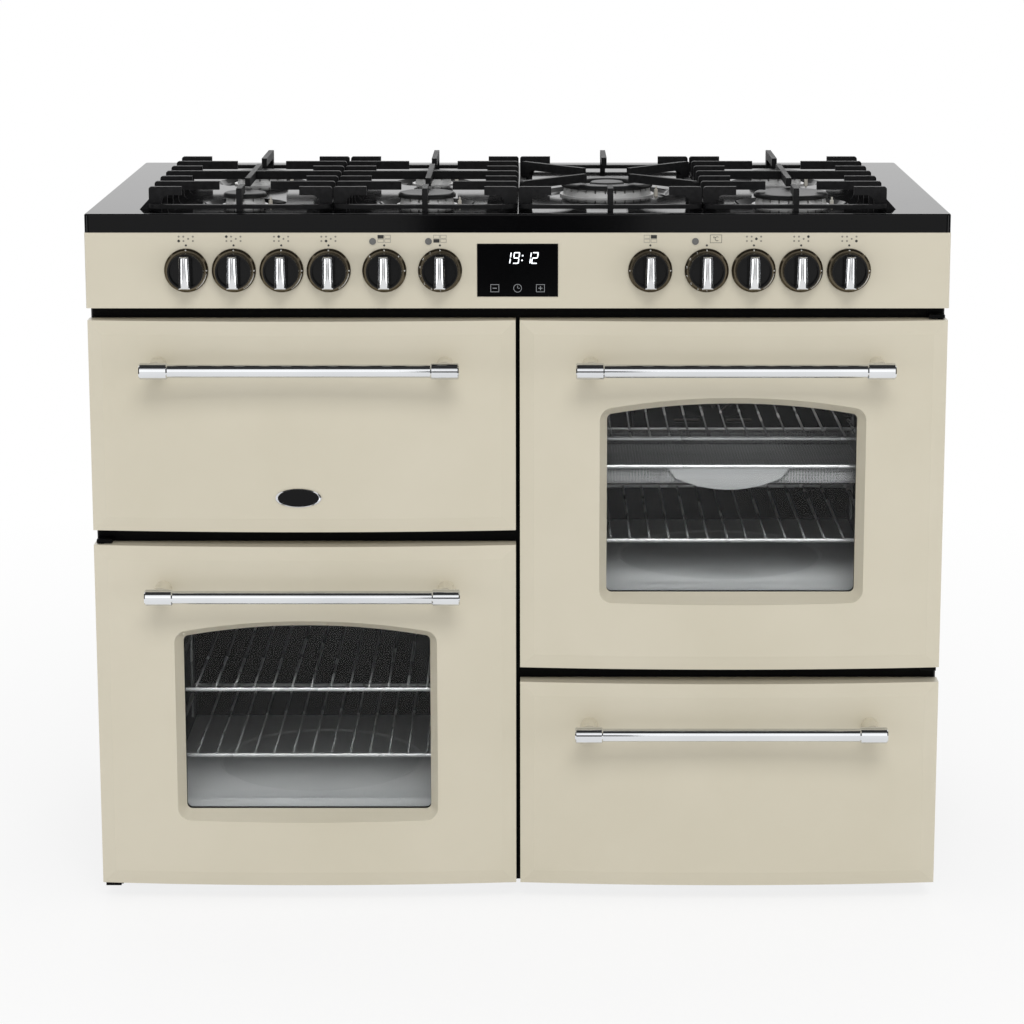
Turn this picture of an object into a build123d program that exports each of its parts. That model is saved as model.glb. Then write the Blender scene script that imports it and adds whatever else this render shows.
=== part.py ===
from build123d import *
from math import hypot
import os

# Cream dual-fuel range cooker: seven burners, a drop-down grill door, two side-hung oven doors, a drawer.
# Millimetres. The floor is z = 0, the front faces -Y, and "depth" counts backwards from the front plane.

# Driving sizes
WIDTH = 1100
DEPTH = 600
HOB_HEIGHT = 915
HOB_EDGE = 24
FASCIA_HEIGHT = 97
FASCIA_GAP = 15.9
GRILL_DOOR_HEIGHT = 275
FRONT_GAP = 19.7
DOOR_BOTTOM = 24.8
DOOR_MARGIN = 0.8
CENTRE_GAP = 5.4
SIDE_INSET = 2
SHEET = 2
HOB_CORNER = 6
EDGE_ROUND = 2.5

# Doors: a bow-front pressed skin, a flat inner liner and a dished window
DOOR_DEPTH = 25
BOW = 11.7
BEVEL = 18
BEVEL_DROP = 2.5
LINER = 8
WINDOW_WIDTH = 322
WINDOW_SIDE = 235
WINDOW_ARCH = 14.5
WINDOW_UP = 99
WINDOW_CORNER = 7
FUNNEL = 12
GLASS = 4
PANE_LAP = 10
SEAL_SPACE = 4
SEAL = 3.5
SEAL_WIDTH = 9

# Handles: a bar with two end caps on cream posts
HANDLE_LENGTH = 404
HANDLE_BAR = 17.2
HANDLE_CAP = 21
CAP_LENGTH = 36
CAP_ROUND = 1.5
HANDLE_DROP = 57
HANDLE_STAND = 48
POST = 22
POST_WRAP = 6

# Hinges
HINGE_DEPTH = 14
HINGE_IN = 8
GRILL_HINGE_UP = 8.5
GRILL_HINGE_SPREAD = 400
ARM = 6
ARM_ROUND = 5
PIN = 7
PIN_REACH = 12
TONGUE = 4
TONGUE_WIDTH = 22
TONGUE_CLEAR = 2
HINGE_BLOCK = 22
FLANGE = 1
FLANGE_HEIGHT = 14.6
PIN_HOLE_CLEAR = 2

# Ovens, grill chamber and drawer
OVEN_WIDTH = 400
OVEN_HEIGHT = 310
OVEN_FLOOR_UP = 90
OVEN_DEPTH = 418
GRILL_HEIGHT = 185
GRILL_FLOOR_UP = 42
DRAWER_OPEN_WIDTH = 490
DRAWER_OPEN_HEIGHT = 232
DRAWER_OPEN_UP = 20
DRAWER_SIDE_GAP = 14
DRAWER_HEIGHT = 150
DRAWER_UP = 8
DRAWER_DEPTH = 500
SEAM = 0.1
RUNNER_HEIGHT = 34
FRAME_SHEET = 3

# Shelves
SHELF_LOW = 154
SHELF_MID = 245
BASKET_LEVEL = 253
SHELF_HIGH = 291
SHELF_FRONT = 70
SHELF_DEPTH = 330
SHELF_WIRES = 13
SHELF_PITCH = 25.65
WIRE = 3
WELD = 0.1
RAIL_WIRE = 5
RACK_WIRE = 4
RACK_STAND = 8
PAN_RIM = 10
PLATE_DISH = 272
PLATE_SLOPE = 4.8
BASKET_DEPTH = 250
BASKET_WALL = 23
BASKET_SHEET = 1.2
TAB_WIDTH = 162
TAB_NECK = 139
TAB_HEIGHT = 31

# Hob
SUPPORT_PITCH = 237
SUPPORT_SPACE = 2
SUPPORT_FRONT = 28
SUPPORT_LENGTH = 472
SUPPORT_HEIGHT = 29
RAIL = 9
RAIL_HEIGHT = 5
RAIL_LIFT = 3
FINGER = 7
FINGER_HEIGHT = 11
FINGER_ROUND = 3.5
LEG = 16
LEG_ROUND = 10
FLARE = 12
FLARE_HEIGHT = 13
ROW_START = 51
ROW_PITCH = 60
SHORT_REACH = 42
MEDIUM_REACH = 84
LONG_REACH = 105
BURNER_CLEAR = 34
WOK_CLEAR = 48
WELL_DEPTH = 5
WELL_MARGIN = 26
BURNER_BASE = 4
CROWN_HEIGHT = 10
CAP_HEIGHT = 6
CUP_HEIGHT = 26
CUP_SHARE = 0.78
CUP_CLEAR = 1
BURNER_LIP = 2
CROWN_SLOPE = 2
PORT = 2
PORT_PITCH = 4.5
PORT_DEPTH = 4.5
CAP_EDGE = 3.6
SPARK = 5
SPARK_CLEAR = 0.5

# Controls
KNOB_LEVEL = 49
KNOB_PLACES = (-421, -360.5, -300, -240, -169.3, -98.5, 168.6, 240.3, 300, 360, 421)
GAS_KNOBS = (0, 1, 2, 3, 8, 9, 10)
LAMP_KNOBS = (4, 5, 7)
SKIRT = 56
SKIRT_DEPTH = 5
KNOB = 47.3
KNOB_DEPTH = 12
KNOB_DISH = 41
KNOB_RIB = 16.5
DISH_DEPTH = 6
GRIP_LENGTH = 41.5
GRIP_TOP = 12
GRIP_BOTTOM = 14.5
GRIP_DEPTH = 12
GRIP_TAPER = 4
GRIP_EDGE = 1.2
KNOB_DRAFT = 1
KNOB_GAP = 0.5
SPINDLE = 8
SPINDLE_LENGTH = 46
SPINDLE_HOLE = 13
TAP = 34
TAP_DEPTH = 40
GAS_PIPE = 20.6
FEED_PIPE = 16
INLET_IN = 60
DISPLAY_WIDTH = 103
DISPLAY_HEIGHT = 68
DISPLAY_PROUD = 1
DISPLAY_CASE = 0.8
LAMP = 8.7
LAMP_SIDE = 14.6
LAMP_UP = 37

# Fan, feet, back
FAN = 150
FAN_HUB = 24
FAN_SHAFT = 8
FAN_BLADES = 8
FAN_BLADE_DEPTH = 14
FAN_SPACE = 26
FAN_COVER = 228
FAN_SLOTS = 16
MOTOR = 70
MOTOR_DEPTH = 48
RING_ELEMENT = 190
ELEMENT = 6.4
BACK_INSET = 15
BASE_RISE = 20
FOOT = 40
FOOT_PAD = 7
FOOT_STEM = 12
FOOT_IN = 60
VENT_LENGTH = 60
VENT_HEIGHT = 5
VENT_STEP_X = 90
VENT_STEP_Z = 12
VENT_COLUMNS = 8
VENT_ROWS = 4

# Fits: moving faces, hinge pins and shafts, pieces that only stand near each other
MOVE_GAP = 1
PIN_FIT = 0.1
SHAFT_FIT = 0.05
NEAR = 0.3

# Places worked out from the driving sizes
handle_reach = HANDLE_STAND + HANDLE_CAP / 2
front_y = (handle_reach - DEPTH) / 2
fascia_top = HOB_HEIGHT - HOB_EDGE
fascia_bottom = fascia_top - FASCIA_HEIGHT
door_top = fascia_bottom - FASCIA_GAP
grill_bottom = door_top - GRILL_DOOR_HEIGHT
left_oven_top = grill_bottom - FRONT_GAP
oven_door_height = left_oven_top - DOOR_BOTTOM
right_oven_bottom = door_top - oven_door_height
drawer_front_height = right_oven_bottom - FRONT_GAP - DOOR_BOTTOM
door_width = (WIDTH - 2 * DOOR_MARGIN - CENTRE_GAP) / 2
door_x = (door_width + CENTRE_GAP) / 2
hinge_x = door_x + door_width / 2 - HINGE_IN
frame_face = DOOR_DEPTH + SEAL_SPACE
frame_back = frame_face + FRAME_SHEET
glass_face = DOOR_DEPTH - LINER - GLASS
oven_back = frame_back + OVEN_DEPTH
chassis_half = WIDTH / 2 - SIDE_INSET
back_depth = DEPTH - BACK_INSET
knob_z = fascia_bottom + KNOB_LEVEL
support_x = [(i - 1.5) * SUPPORT_PITCH for i in range(4)]
support_width = SUPPORT_PITCH - SUPPORT_SPACE
burner_front = ROW_START + ROW_PITCH
burner_middle = ROW_START + 3 * ROW_PITCH
burner_rear = ROW_START + 5 * ROW_PITCH
well_floor = HOB_HEIGHT - WELL_DEPTH
left_floor = DOOR_BOTTOM + OVEN_FLOOR_UP
right_floor = right_oven_bottom + OVEN_FLOOR_UP
grill_floor = grill_bottom + GRILL_FLOOR_UP
drawer_floor = DOOR_BOTTOM + DRAWER_OPEN_UP
rack_x = OVEN_WIDTH / 2 - RACK_STAND
fan_z = right_floor + OVEN_HEIGHT / 2
control_face = frame_face
control_back = frame_face + FRAME_SHEET
rail_depth = control_back + TAP_DEPTH + GAS_PIPE / 2
inlet_x = chassis_half - INLET_IN

# Burners: place across, depth, cap diameter. The wok burner is the one in the third support.
BURNERS = (
    (support_x[0], burner_front, 56),
    (support_x[0], burner_rear, 72),
    (support_x[1], burner_front, 75),
    (support_x[1], burner_rear, 54),
    (support_x[2], burner_middle, 122),
    (support_x[3], burner_front, 97),
    (support_x[3], burner_rear, 73),
)
WOK_RING = 74
WOK_CAP = 46

os.makedirs("parts", exist_ok=True)


def save(builder, label):
    """Names a finished sub-part and writes its STEP file."""
    builder.part.label = label
    export_step(builder.part, f"parts/{label}.step")


def at_depth(depth):
    """Y place of a depth behind the front plane."""
    return front_y + depth


def front_plane(depth):
    """Upright sketch plane facing the viewer: its x runs right, its y runs up, extrusion comes forward."""
    return Plane.XZ.offset(-at_depth(depth))


def slab(x0, x1, depth0, depth1, z0, z1, mode=Mode.ADD):
    """Block between the given edges."""
    with Locations(((x0 + x1) / 2, at_depth((depth0 + depth1) / 2), (z0 + z1) / 2)):
        Box(x1 - x0, depth1 - depth0, z1 - z0, mode=mode)


def rod_x(x0, x1, depth, z, diameter, mode=Mode.ADD):
    """Round bar that runs across the cooker."""
    with Locations(((x0 + x1) / 2, at_depth(depth), z)):
        Cylinder(diameter / 2, x1 - x0, rotation=(0, 90, 0), mode=mode)


def rod_y(x, depth0, depth1, z, diameter, mode=Mode.ADD):
    """Round bar that runs front to back."""
    with Locations((x, at_depth((depth0 + depth1) / 2), z)):
        Cylinder(diameter / 2, depth1 - depth0, rotation=(90, 0, 0), mode=mode)


def rod_z(x, depth, z0, z1, diameter, mode=Mode.ADD):
    """Upright round bar."""
    with Locations((x, at_depth(depth), (z0 + z1) / 2)):
        Cylinder(diameter / 2, z1 - z0, mode=mode)


# Doors


def bowed_block(x, z0, width, height, depth0, depth1):
    """Block with a bowed, bevelled front, the outer form of each door and of the drawer front."""
    left, right = x - width / 2, x + width / 2
    corner, back = at_depth(depth0), at_depth(depth1)
    with BuildPart() as block:
        with BuildSketch(Plane.XY.offset(z0)):
            with BuildLine():
                Polyline((right, corner), (right, back), (left, back), (left, corner))
                ThreePointArc((left, corner), (x, corner - BOW), (right, corner))
            make_face()
        extrude(amount=height)
        bowed = block.faces().filter_by(GeomType.CYLINDER)[0]
        chamfer(bowed.edges(), length=BEVEL, length2=BEVEL_DROP, reference=bowed)
    return block.part


def arched_outline(depth, x, z0, grow):
    """Window outline at a depth: straight sides and foot, low arch on top."""
    half = WINDOW_WIDTH / 2 + grow
    foot, shoulder = z0 + WINDOW_UP - grow, z0 + WINDOW_UP + WINDOW_SIDE + grow
    with BuildSketch(front_plane(depth)) as outline:
        with BuildLine():
            Polyline((x - half, shoulder), (x - half, foot), (x + half, foot), (x + half, shoulder))
            ThreePointArc((x - half, shoulder), (x, shoulder + WINDOW_ARCH), (x + half, shoulder))
        make_face()
        fillet(outline.vertices(), WINDOW_CORNER + grow)
    return outline.sketch


def funnel(x, z0, grow):
    """Sloped window surround as a solid, from the glass out through the bowed front."""
    spread = FUNNEL * (glass_face + BOW + 1) / (glass_face + BOW)
    near_glass = arched_outline(glass_face, x, z0, grow)
    in_front = arched_outline(-BOW - 1, x, z0, grow + spread)
    with BuildPart() as cone:
        loft([near_glass.face(), in_front.face()])
    return cone.part


def door_panel(label, x, z0, height, windowed):
    """Pressed front skin with its window surround and the two cream handle posts."""
    outer = bowed_block(x, z0, door_width, height, 0, DOOR_DEPTH)
    hollow = bowed_block(x, z0 + SHEET, door_width - 2 * SHEET, height - 2 * SHEET, SHEET, DOOR_DEPTH + 1)
    if windowed:
        with BuildPart() as surround:
            add(funnel(x, z0, SHEET))
            add(outer, mode=Mode.INTERSECT)
    handle_z = z0 + height - HANDLE_DROP
    post_x = HANDLE_LENGTH / 2 - CAP_LENGTH / 2 - 1
    post_bow = BOW * (1 - (2 * post_x / door_width) ** 2)
    with BuildPart() as panel:
        add(outer)
        add(hollow, mode=Mode.SUBTRACT)
        if windowed:
            add(surround.part)
            add(funnel(x, z0, 0), mode=Mode.SUBTRACT)
        for side in (-1, 1):
            rod_y(x + side * post_x, -HANDLE_STAND + POST_WRAP, -post_bow + SHEET / 2, handle_z, POST)
        bar_left, bar_right = x - HANDLE_LENGTH / 2, x + HANDLE_LENGTH / 2
        rod_x(bar_left, bar_right, -HANDLE_STAND, handle_z, HANDLE_CAP, Mode.SUBTRACT)
        if label == "grill_door_panel":
            grill_notches(z0)
        if windowed:
            pin_x, hole = side_of(x) * hinge_x, PIN + 2 * PIN_HOLE_CLEAR
            for z in (z0, z0 + height):
                rod_z(pin_x, HINGE_DEPTH, z - SHEET - 1, z + SHEET + 1, hole, Mode.SUBTRACT)
    save(panel, label)


def side_of(x):
    """-1 on the left half of the cooker, 1 on the right."""
    return -1 if x < 0 else 1


def grill_notches(z0):
    """Slots at the grill door's foot, where the fixed hinge arms reach in."""
    axis_z = z0 + GRILL_HINGE_UP
    reach = ARM_ROUND + MOVE_GAP
    for side in (-1, 1):
        x = -door_x + side * GRILL_HINGE_SPREAD / 2
        half = ARM / 2 + MOVE_GAP
        slab(x - half, x + half, HINGE_DEPTH - reach, DOOR_DEPTH + 1, z0 - 1, axis_z + reach, Mode.SUBTRACT)


def door_liner(label, x, z0, height, windowed):
    """Inner door: a flat plate that closes the skin, with a rebate for the inner pane and hinge blocks."""
    half, top = door_width / 2 - SHEET, z0 + height - SHEET
    with BuildPart() as liner:
        slab(x - half, x + half, DOOR_DEPTH - LINER, DOOR_DEPTH, z0 + SHEET, top)
        if windowed:
            extrude(arched_outline(DOOR_DEPTH, x, z0, 0), amount=LINER, mode=Mode.SUBTRACT)
            extrude(arched_outline(DOOR_DEPTH, x, z0, PANE_LAP), amount=GLASS, mode=Mode.SUBTRACT)
            outside = side_of(x) * (half + door_x)
            inside = outside - side_of(x) * HINGE_BLOCK
            edges = sorted((outside, inside))
            for z in (z0 + SHEET, top - HINGE_BLOCK):
                slab(*edges, HINGE_DEPTH - PIN / 2 - 2, DOOR_DEPTH, z, z + HINGE_BLOCK)
            pin_x, bore = side_of(x) * hinge_x, PIN + 2 * PIN_FIT
            for z in (z0 + SHEET, top):
                rod_z(pin_x, HINGE_DEPTH, z - PIN_REACH, z + PIN_REACH, bore, Mode.SUBTRACT)
        else:
            axis_z = z0 + GRILL_HINGE_UP
            for side in (-1, 1):
                arm_x = x + side * GRILL_HINGE_SPREAD / 2
                slab(
                    arm_x - HINGE_BLOCK,
                    arm_x + HINGE_BLOCK,
                    HINGE_DEPTH - PIN / 2 - 2,
                    DOOR_DEPTH,
                    z0 + SHEET,
                    axis_z + PIN,
                )
            grill_notches(z0)
            for side in (-1, 1):
                arm_x = x + side * GRILL_HINGE_SPREAD / 2
                reach = ARM / 2 + MOVE_GAP + PIN_REACH
                rod_x(arm_x - reach, arm_x + reach, HINGE_DEPTH, axis_z, PIN + 2 * PIN_FIT, Mode.SUBTRACT)
    save(liner, label)


def door_glass(label, x, z0):
    """Outer and inner window panes."""
    with BuildPart() as glass:
        for back in (DOOR_DEPTH - LINER, DOOR_DEPTH):
            extrude(arched_outline(back, x, z0, PANE_LAP), amount=GLASS)
    save(glass, label)


def door_handle(label, x, z0, height):
    """Round bar with a thicker cap at each end."""
    z = z0 + height - HANDLE_DROP
    half = HANDLE_LENGTH / 2
    with BuildPart() as handle:
        rod_x(x - half + CAP_ROUND, x + half - CAP_ROUND, -HANDLE_STAND, z, HANDLE_BAR)
        for side in (-1, 1):
            ends = sorted((x + side * half, x + side * (half - CAP_LENGTH)))
            rod_x(*ends, -HANDLE_STAND, z, HANDLE_CAP)
        rims = handle.edges().filter_by(GeomType.CIRCLE)
        chamfer(rims.filter_by(lambda rim: rim.radius > HANDLE_BAR / 2 + 1), CAP_ROUND)
    save(handle, label)


def make_doors():
    """Grill door, both oven doors and the drawer front."""
    fronts = (
        ("grill_door", -door_x, grill_bottom, GRILL_DOOR_HEIGHT, False),
        ("left_door", -door_x, DOOR_BOTTOM, oven_door_height, True),
        ("right_door", door_x, right_oven_bottom, oven_door_height, True),
    )
    for name, x, z0, height, windowed in fronts:
        door_panel(f"{name}_panel", x, z0, height, windowed)
        door_liner(f"{name}_liner", x, z0, height, windowed)
        door_handle(f"{name}_handle", x, z0, height)
        if windowed:
            door_glass(f"{name}_glass", x, z0)
    door_panel("drawer_front", door_x, DOOR_BOTTOM, drawer_front_height, False)
    door_handle("drawer_handle", door_x, DOOR_BOTTOM, drawer_front_height)


def make_drawer():
    """Storage drawer: backing plate inside the front, open box, and the fixed runners it slides on."""
    half = DRAWER_OPEN_WIDTH / 2 - DRAWER_SIDE_GAP
    floor, rim = drawer_floor + DRAWER_UP, drawer_floor + DRAWER_UP + DRAWER_HEIGHT
    back = DOOR_DEPTH + DRAWER_DEPTH
    runner_z = floor + DRAWER_HEIGHT / 2
    with BuildPart() as box:
        slab(
            door_x - door_width / 2 + SHEET,
            door_x + door_width / 2 - SHEET,
            DOOR_DEPTH - LINER,
            DOOR_DEPTH,
            DOOR_BOTTOM + SHEET,
            DOOR_BOTTOM + drawer_front_height - SHEET,
        )
        front, wall = DOOR_DEPTH + SEAM, half - SHEET
        inside = wall - SEAM
        slab(door_x - inside, door_x + inside, front, back - SHEET - SEAM, floor, floor + SHEET)
        slab(door_x - inside, door_x + inside, back - SHEET, back, floor, rim)
        for side in (-1, 1):
            ends = sorted((door_x + side * half, door_x + side * wall))
            slab(*ends, front, back, floor, rim)
            ledge = half + SEAM
            ends = sorted((door_x + side * ledge, door_x + side * (half + DRAWER_SIDE_GAP / 2)))
            slab(*ends, frame_face + MOVE_GAP, back, runner_z, runner_z + SHEET)
    save(box, "drawer_box")
    with BuildPart() as runners:
        for side in (-1, 1):
            outer = door_x + side * (half + DRAWER_SIDE_GAP + RUNNER_HEIGHT / 4)
            inner = door_x + side * (half + MOVE_GAP)
            rail = sorted((outer, inner))
            slab(*rail, frame_back, back_depth - SHEET, runner_z - SHEET - NEAR, runner_z - NEAR)
            web = sorted((outer, outer - side * SHEET))
            slab(*web, frame_back, back_depth - SHEET, runner_z - RUNNER_HEIGHT, runner_z - NEAR)
    save(runners, "drawer_runners")


# Cabinet


def make_cabinet():
    """Side panels, base, back, black front frame and feet."""
    with BuildPart() as sides:
        for side in (-1, 1):
            edges = sorted((side * chassis_half, side * (chassis_half - SHEET)))
            slab(*edges, frame_face, back_depth, BASE_RISE, fascia_top)
    save(sides, "side_panels")

    inner = chassis_half - SHEET
    with BuildPart() as base:
        slab(-inner, inner, frame_back, back_depth - SHEET, BASE_RISE, BASE_RISE + SHEET)
        for depth in (frame_back, back_depth - 2 * SHEET):
            slab(-inner, inner, depth, depth + SHEET, BASE_RISE, DOOR_BOTTOM + DRAWER_OPEN_UP)
    save(base, "base_tray")

    with BuildPart() as frame:
        slab(-inner, inner, frame_face, frame_back, BASE_RISE, fascia_bottom)
        for x, floor, width, height in front_openings():
            left, right = x - width / 2, x + width / 2
            slab(left, right, frame_face - 1, frame_back + 1, floor, floor + height, Mode.SUBTRACT)
    save(frame, "front_frame")

    with BuildPart() as back:
        slab(-inner, inner, back_depth - SHEET, back_depth, BASE_RISE, fascia_top)
        rod_y(inlet_x, back_depth - SHEET - 1, back_depth + 1, knob_z, FEED_PIPE, Mode.SUBTRACT)
        with BuildSketch(front_plane(back_depth)):
            for z in (right_floor, right_floor + OVEN_HEIGHT):
                with Locations((0, z)):
                    with GridLocations(VENT_STEP_X, VENT_STEP_Z, VENT_COLUMNS, VENT_ROWS):
                        SlotOverall(VENT_LENGTH, VENT_HEIGHT)
        extrude(amount=SHEET, mode=Mode.SUBTRACT)
    save(back, "back_panel")

    with BuildPart() as feet:
        for x in (-chassis_half + FOOT_IN, chassis_half - FOOT_IN):
            for depth in (frame_back + FOOT_IN, back_depth - FOOT_IN):
                rod_z(x, depth, 0, FOOT_PAD, FOOT)
                rod_z(x, depth, FOOT_PAD, BASE_RISE, FOOT_STEM)
        chamfer(feet.edges().filter_by(GeomType.CIRCLE).group_by(Axis.Z)[1], FOOT_PAD / 2)
    save(feet, "levelling_feet")


def front_openings():
    """Centre, floor, width and height of the four holes in the front frame."""
    return (
        (-door_x, grill_floor, OVEN_WIDTH, GRILL_HEIGHT),
        (-door_x, left_floor, OVEN_WIDTH, OVEN_HEIGHT),
        (door_x, right_floor, OVEN_WIDTH, OVEN_HEIGHT),
        (door_x, drawer_floor, DRAWER_OPEN_WIDTH, DRAWER_OPEN_HEIGHT),
    )


def make_hinge_brackets():
    """Fixed hinge parts: a tongue and pin above and below each oven door, and the grill door's two arms."""
    tongue_tip = HINGE_DEPTH - PIN
    with BuildPart() as brackets:
        for side, foot, head in ((-1, DOOR_BOTTOM, left_oven_top), (1, right_oven_bottom, door_top)):
            edges = sorted((side * (chassis_half - SHEET), side * (chassis_half - TONGUE_WIDTH)))
            top = head + TONGUE_CLEAR
            slab(*edges, tongue_tip, frame_face, top, top + TONGUE)
            rod_z(side * hinge_x, HINGE_DEPTH, head - PIN_REACH, top, PIN)
            low = foot - TONGUE_CLEAR - TONGUE
            slab(*edges, tongue_tip, frame_face, low, low + TONGUE)
            rod_z(side * hinge_x, HINGE_DEPTH, low, foot + PIN_REACH, PIN)
            for z in (top, low):
                middle = z + TONGUE / 2
                low_edge, high_edge = middle - FLANGE_HEIGHT / 2, middle + FLANGE_HEIGHT / 2
                slab(*edges, frame_face - FLANGE, frame_face, low_edge, high_edge)
        axis_z = grill_bottom + GRILL_HINGE_UP
        for side in (-1, 1):
            x = -door_x + side * GRILL_HINGE_SPREAD / 2
            slab(x - ARM / 2, x + ARM / 2, HINGE_DEPTH, frame_face, axis_z - ARM_ROUND, axis_z + ARM_ROUND)
            rod_x(x - ARM / 2, x + ARM / 2, HINGE_DEPTH, axis_z, 2 * ARM_ROUND)
            reach = ARM / 2 + PIN_REACH
            rod_x(x - reach, x + reach, HINGE_DEPTH, axis_z, PIN)
    save(brackets, "hinge_brackets")


def make_seals():
    """Flat woven seals round both oven mouths."""
    with BuildPart() as seals:
        for x, floor in ((-door_x, left_floor), (door_x, right_floor)):
            with BuildSketch(front_plane(frame_face)):
                with Locations((x, floor + OVEN_HEIGHT / 2)):
                    lap = 2 * SEAL_WIDTH
                    RectangleRounded(OVEN_WIDTH + lap, OVEN_HEIGHT + lap, lap)
                    Rectangle(OVEN_WIDTH, OVEN_HEIGHT, mode=Mode.SUBTRACT)
            extrude(amount=SEAL)
    save(seals, "door_seals")


# Oven chambers


def chamber(label, x, floor, height, fan_hole):
    """Open-fronted enamelled box behind the front frame."""
    half = OVEN_WIDTH / 2
    with BuildPart() as box:
        wall, roof = half + SHEET, floor + height + SHEET
        slab(x - wall, x + wall, frame_back, oven_back + SHEET, floor - SHEET, roof)
        slab(x - half, x + half, frame_back - 1, oven_back, floor, floor + height, Mode.SUBTRACT)
        if fan_hole:
            rod_y(x, oven_back - 1, oven_back + SHEET + 1, fan_z, FAN_SHAFT + 4, Mode.SUBTRACT)
    save(box, label)


def wire_shelf(x, front, depth, z, half):
    """Chrome wire shelf: a round frame with a row of front-to-back wires."""
    between = depth - RAIL_WIRE - 2 * WELD
    with BuildPart() as shelf:
        with Locations((x, at_depth(front + depth / 2), z)):
            with GridLocations(1, depth, 1, 2):
                Cylinder(RAIL_WIRE / 2, 2 * half + 1.5 * RACK_WIRE, rotation=(0, 90, 0))
            with GridLocations(2 * half, 1, 2, 1):
                Cylinder(RACK_WIRE / 2, between, rotation=(90, 0, 0))
            with GridLocations(SHELF_PITCH, 1, SHELF_WIRES, 1):
                Cylinder(WIRE / 2, between, rotation=(90, 0, 0))
    return shelf.part


def make_chambers():
    """Chambers with all that is fixed or stands in them."""
    chamber("grill_chamber", -door_x, grill_floor, GRILL_HEIGHT, False)
    chamber("left_oven_chamber", -door_x, left_floor, OVEN_HEIGHT, False)
    chamber("right_oven_chamber", door_x, right_floor, OVEN_HEIGHT, True)

    seat = (RAIL_WIRE + RACK_WIRE) / 2
    levels = (
        (-door_x, DOOR_BOTTOM, SHELF_LOW),
        (-door_x, DOOR_BOTTOM, SHELF_MID),
        (door_x, right_oven_bottom, SHELF_LOW),
        (door_x, right_oven_bottom, SHELF_HIGH),
    )
    pan_rim = grill_floor + GRILL_HEIGHT / 3
    trivet_front, trivet_depth = SHELF_FRONT + PAN_RIM, SHELF_DEPTH - 2 * PAN_RIM
    with BuildPart() as shelves:
        for x, base, level in levels:
            add(wire_shelf(x, SHELF_FRONT, SHELF_DEPTH, base + level, rack_x))
        trivet = wire_shelf(-door_x, trivet_front, trivet_depth, pan_rim + RAIL_WIRE / 2, rack_x - PAN_RIM)
        add(trivet)
    save(shelves, "wire_shelves")

    with BuildPart() as racks:
        ovens = ((-door_x, DOOR_BOTTOM, left_floor), (door_x, right_oven_bottom, right_floor))
        for x, base, floor in ovens:
            for side in (-1, 1):
                rail_x = x + side * rack_x
                post_x = x + side * (OVEN_WIDTH - RACK_WIRE) / 2
                ends = (SHELF_FRONT, SHELF_FRONT + SHELF_DEPTH)
                middle = base + BASKET_LEVEL if x > 0 else base + SHELF_MID
                for level in (base + SHELF_LOW, middle, base + SHELF_HIGH):
                    rod_y(rail_x, ends[0] - RACK_STAND, ends[1] + RACK_STAND, level - seat, RACK_WIRE)
                    for depth in ends:
                        rod_x(*sorted((rail_x, post_x)), depth, level - seat, WIRE)
                for depth in ends:
                    rod_z(post_x, depth, floor + 2 * RACK_STAND, base + SHELF_HIGH + RACK_STAND, RACK_WIRE)
    save(racks, "side_racks")

    with BuildPart() as plates:
        for x, floor in ((-door_x, left_floor), (door_x, right_floor)):
            half = OVEN_WIDTH / 2 - SHEET
            slab(x - half, x + half, frame_back + SHEET, oven_back - SHEET, floor, floor + 2 * SHEET)
            dish_depth = (frame_back + oven_back) / 2
            with Locations((x, at_depth(dish_depth), floor + 2 * SHEET)):
                Cone(
                    PLATE_DISH / 2,
                    PLATE_DISH / 2 + PLATE_SLOPE,
                    SHEET,
                    align=(Align.CENTER, Align.CENTER, Align.MAX),
                    mode=Mode.SUBTRACT,
                )
    save(plates, "oven_base_plates")

    make_grill_pan(pan_rim)
    make_basket()
    make_elements()
    make_fan()


def make_grill_pan(rim):
    """Enamelled grill pan on the chamber floor, with a turned-out rim."""
    half = OVEN_WIDTH / 2 - RACK_STAND
    front, back = SHELF_FRONT, SHELF_FRONT + SHELF_DEPTH
    with BuildPart() as pan:
        slab(-door_x - half, -door_x + half, front, back, rim - 2 * SHEET, rim)
        wall = half - PAN_RIM
        slab(-door_x - wall, -door_x + wall, front + PAN_RIM, back - PAN_RIM, grill_floor, rim)
        wall -= SHEET
        well = PAN_RIM + SHEET
        left, right = -door_x - wall, -door_x + wall
        slab(left, right, front + well, back - well, grill_floor + SHEET, rim + 1, Mode.SUBTRACT)
    save(pan, "grill_pan")


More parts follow.
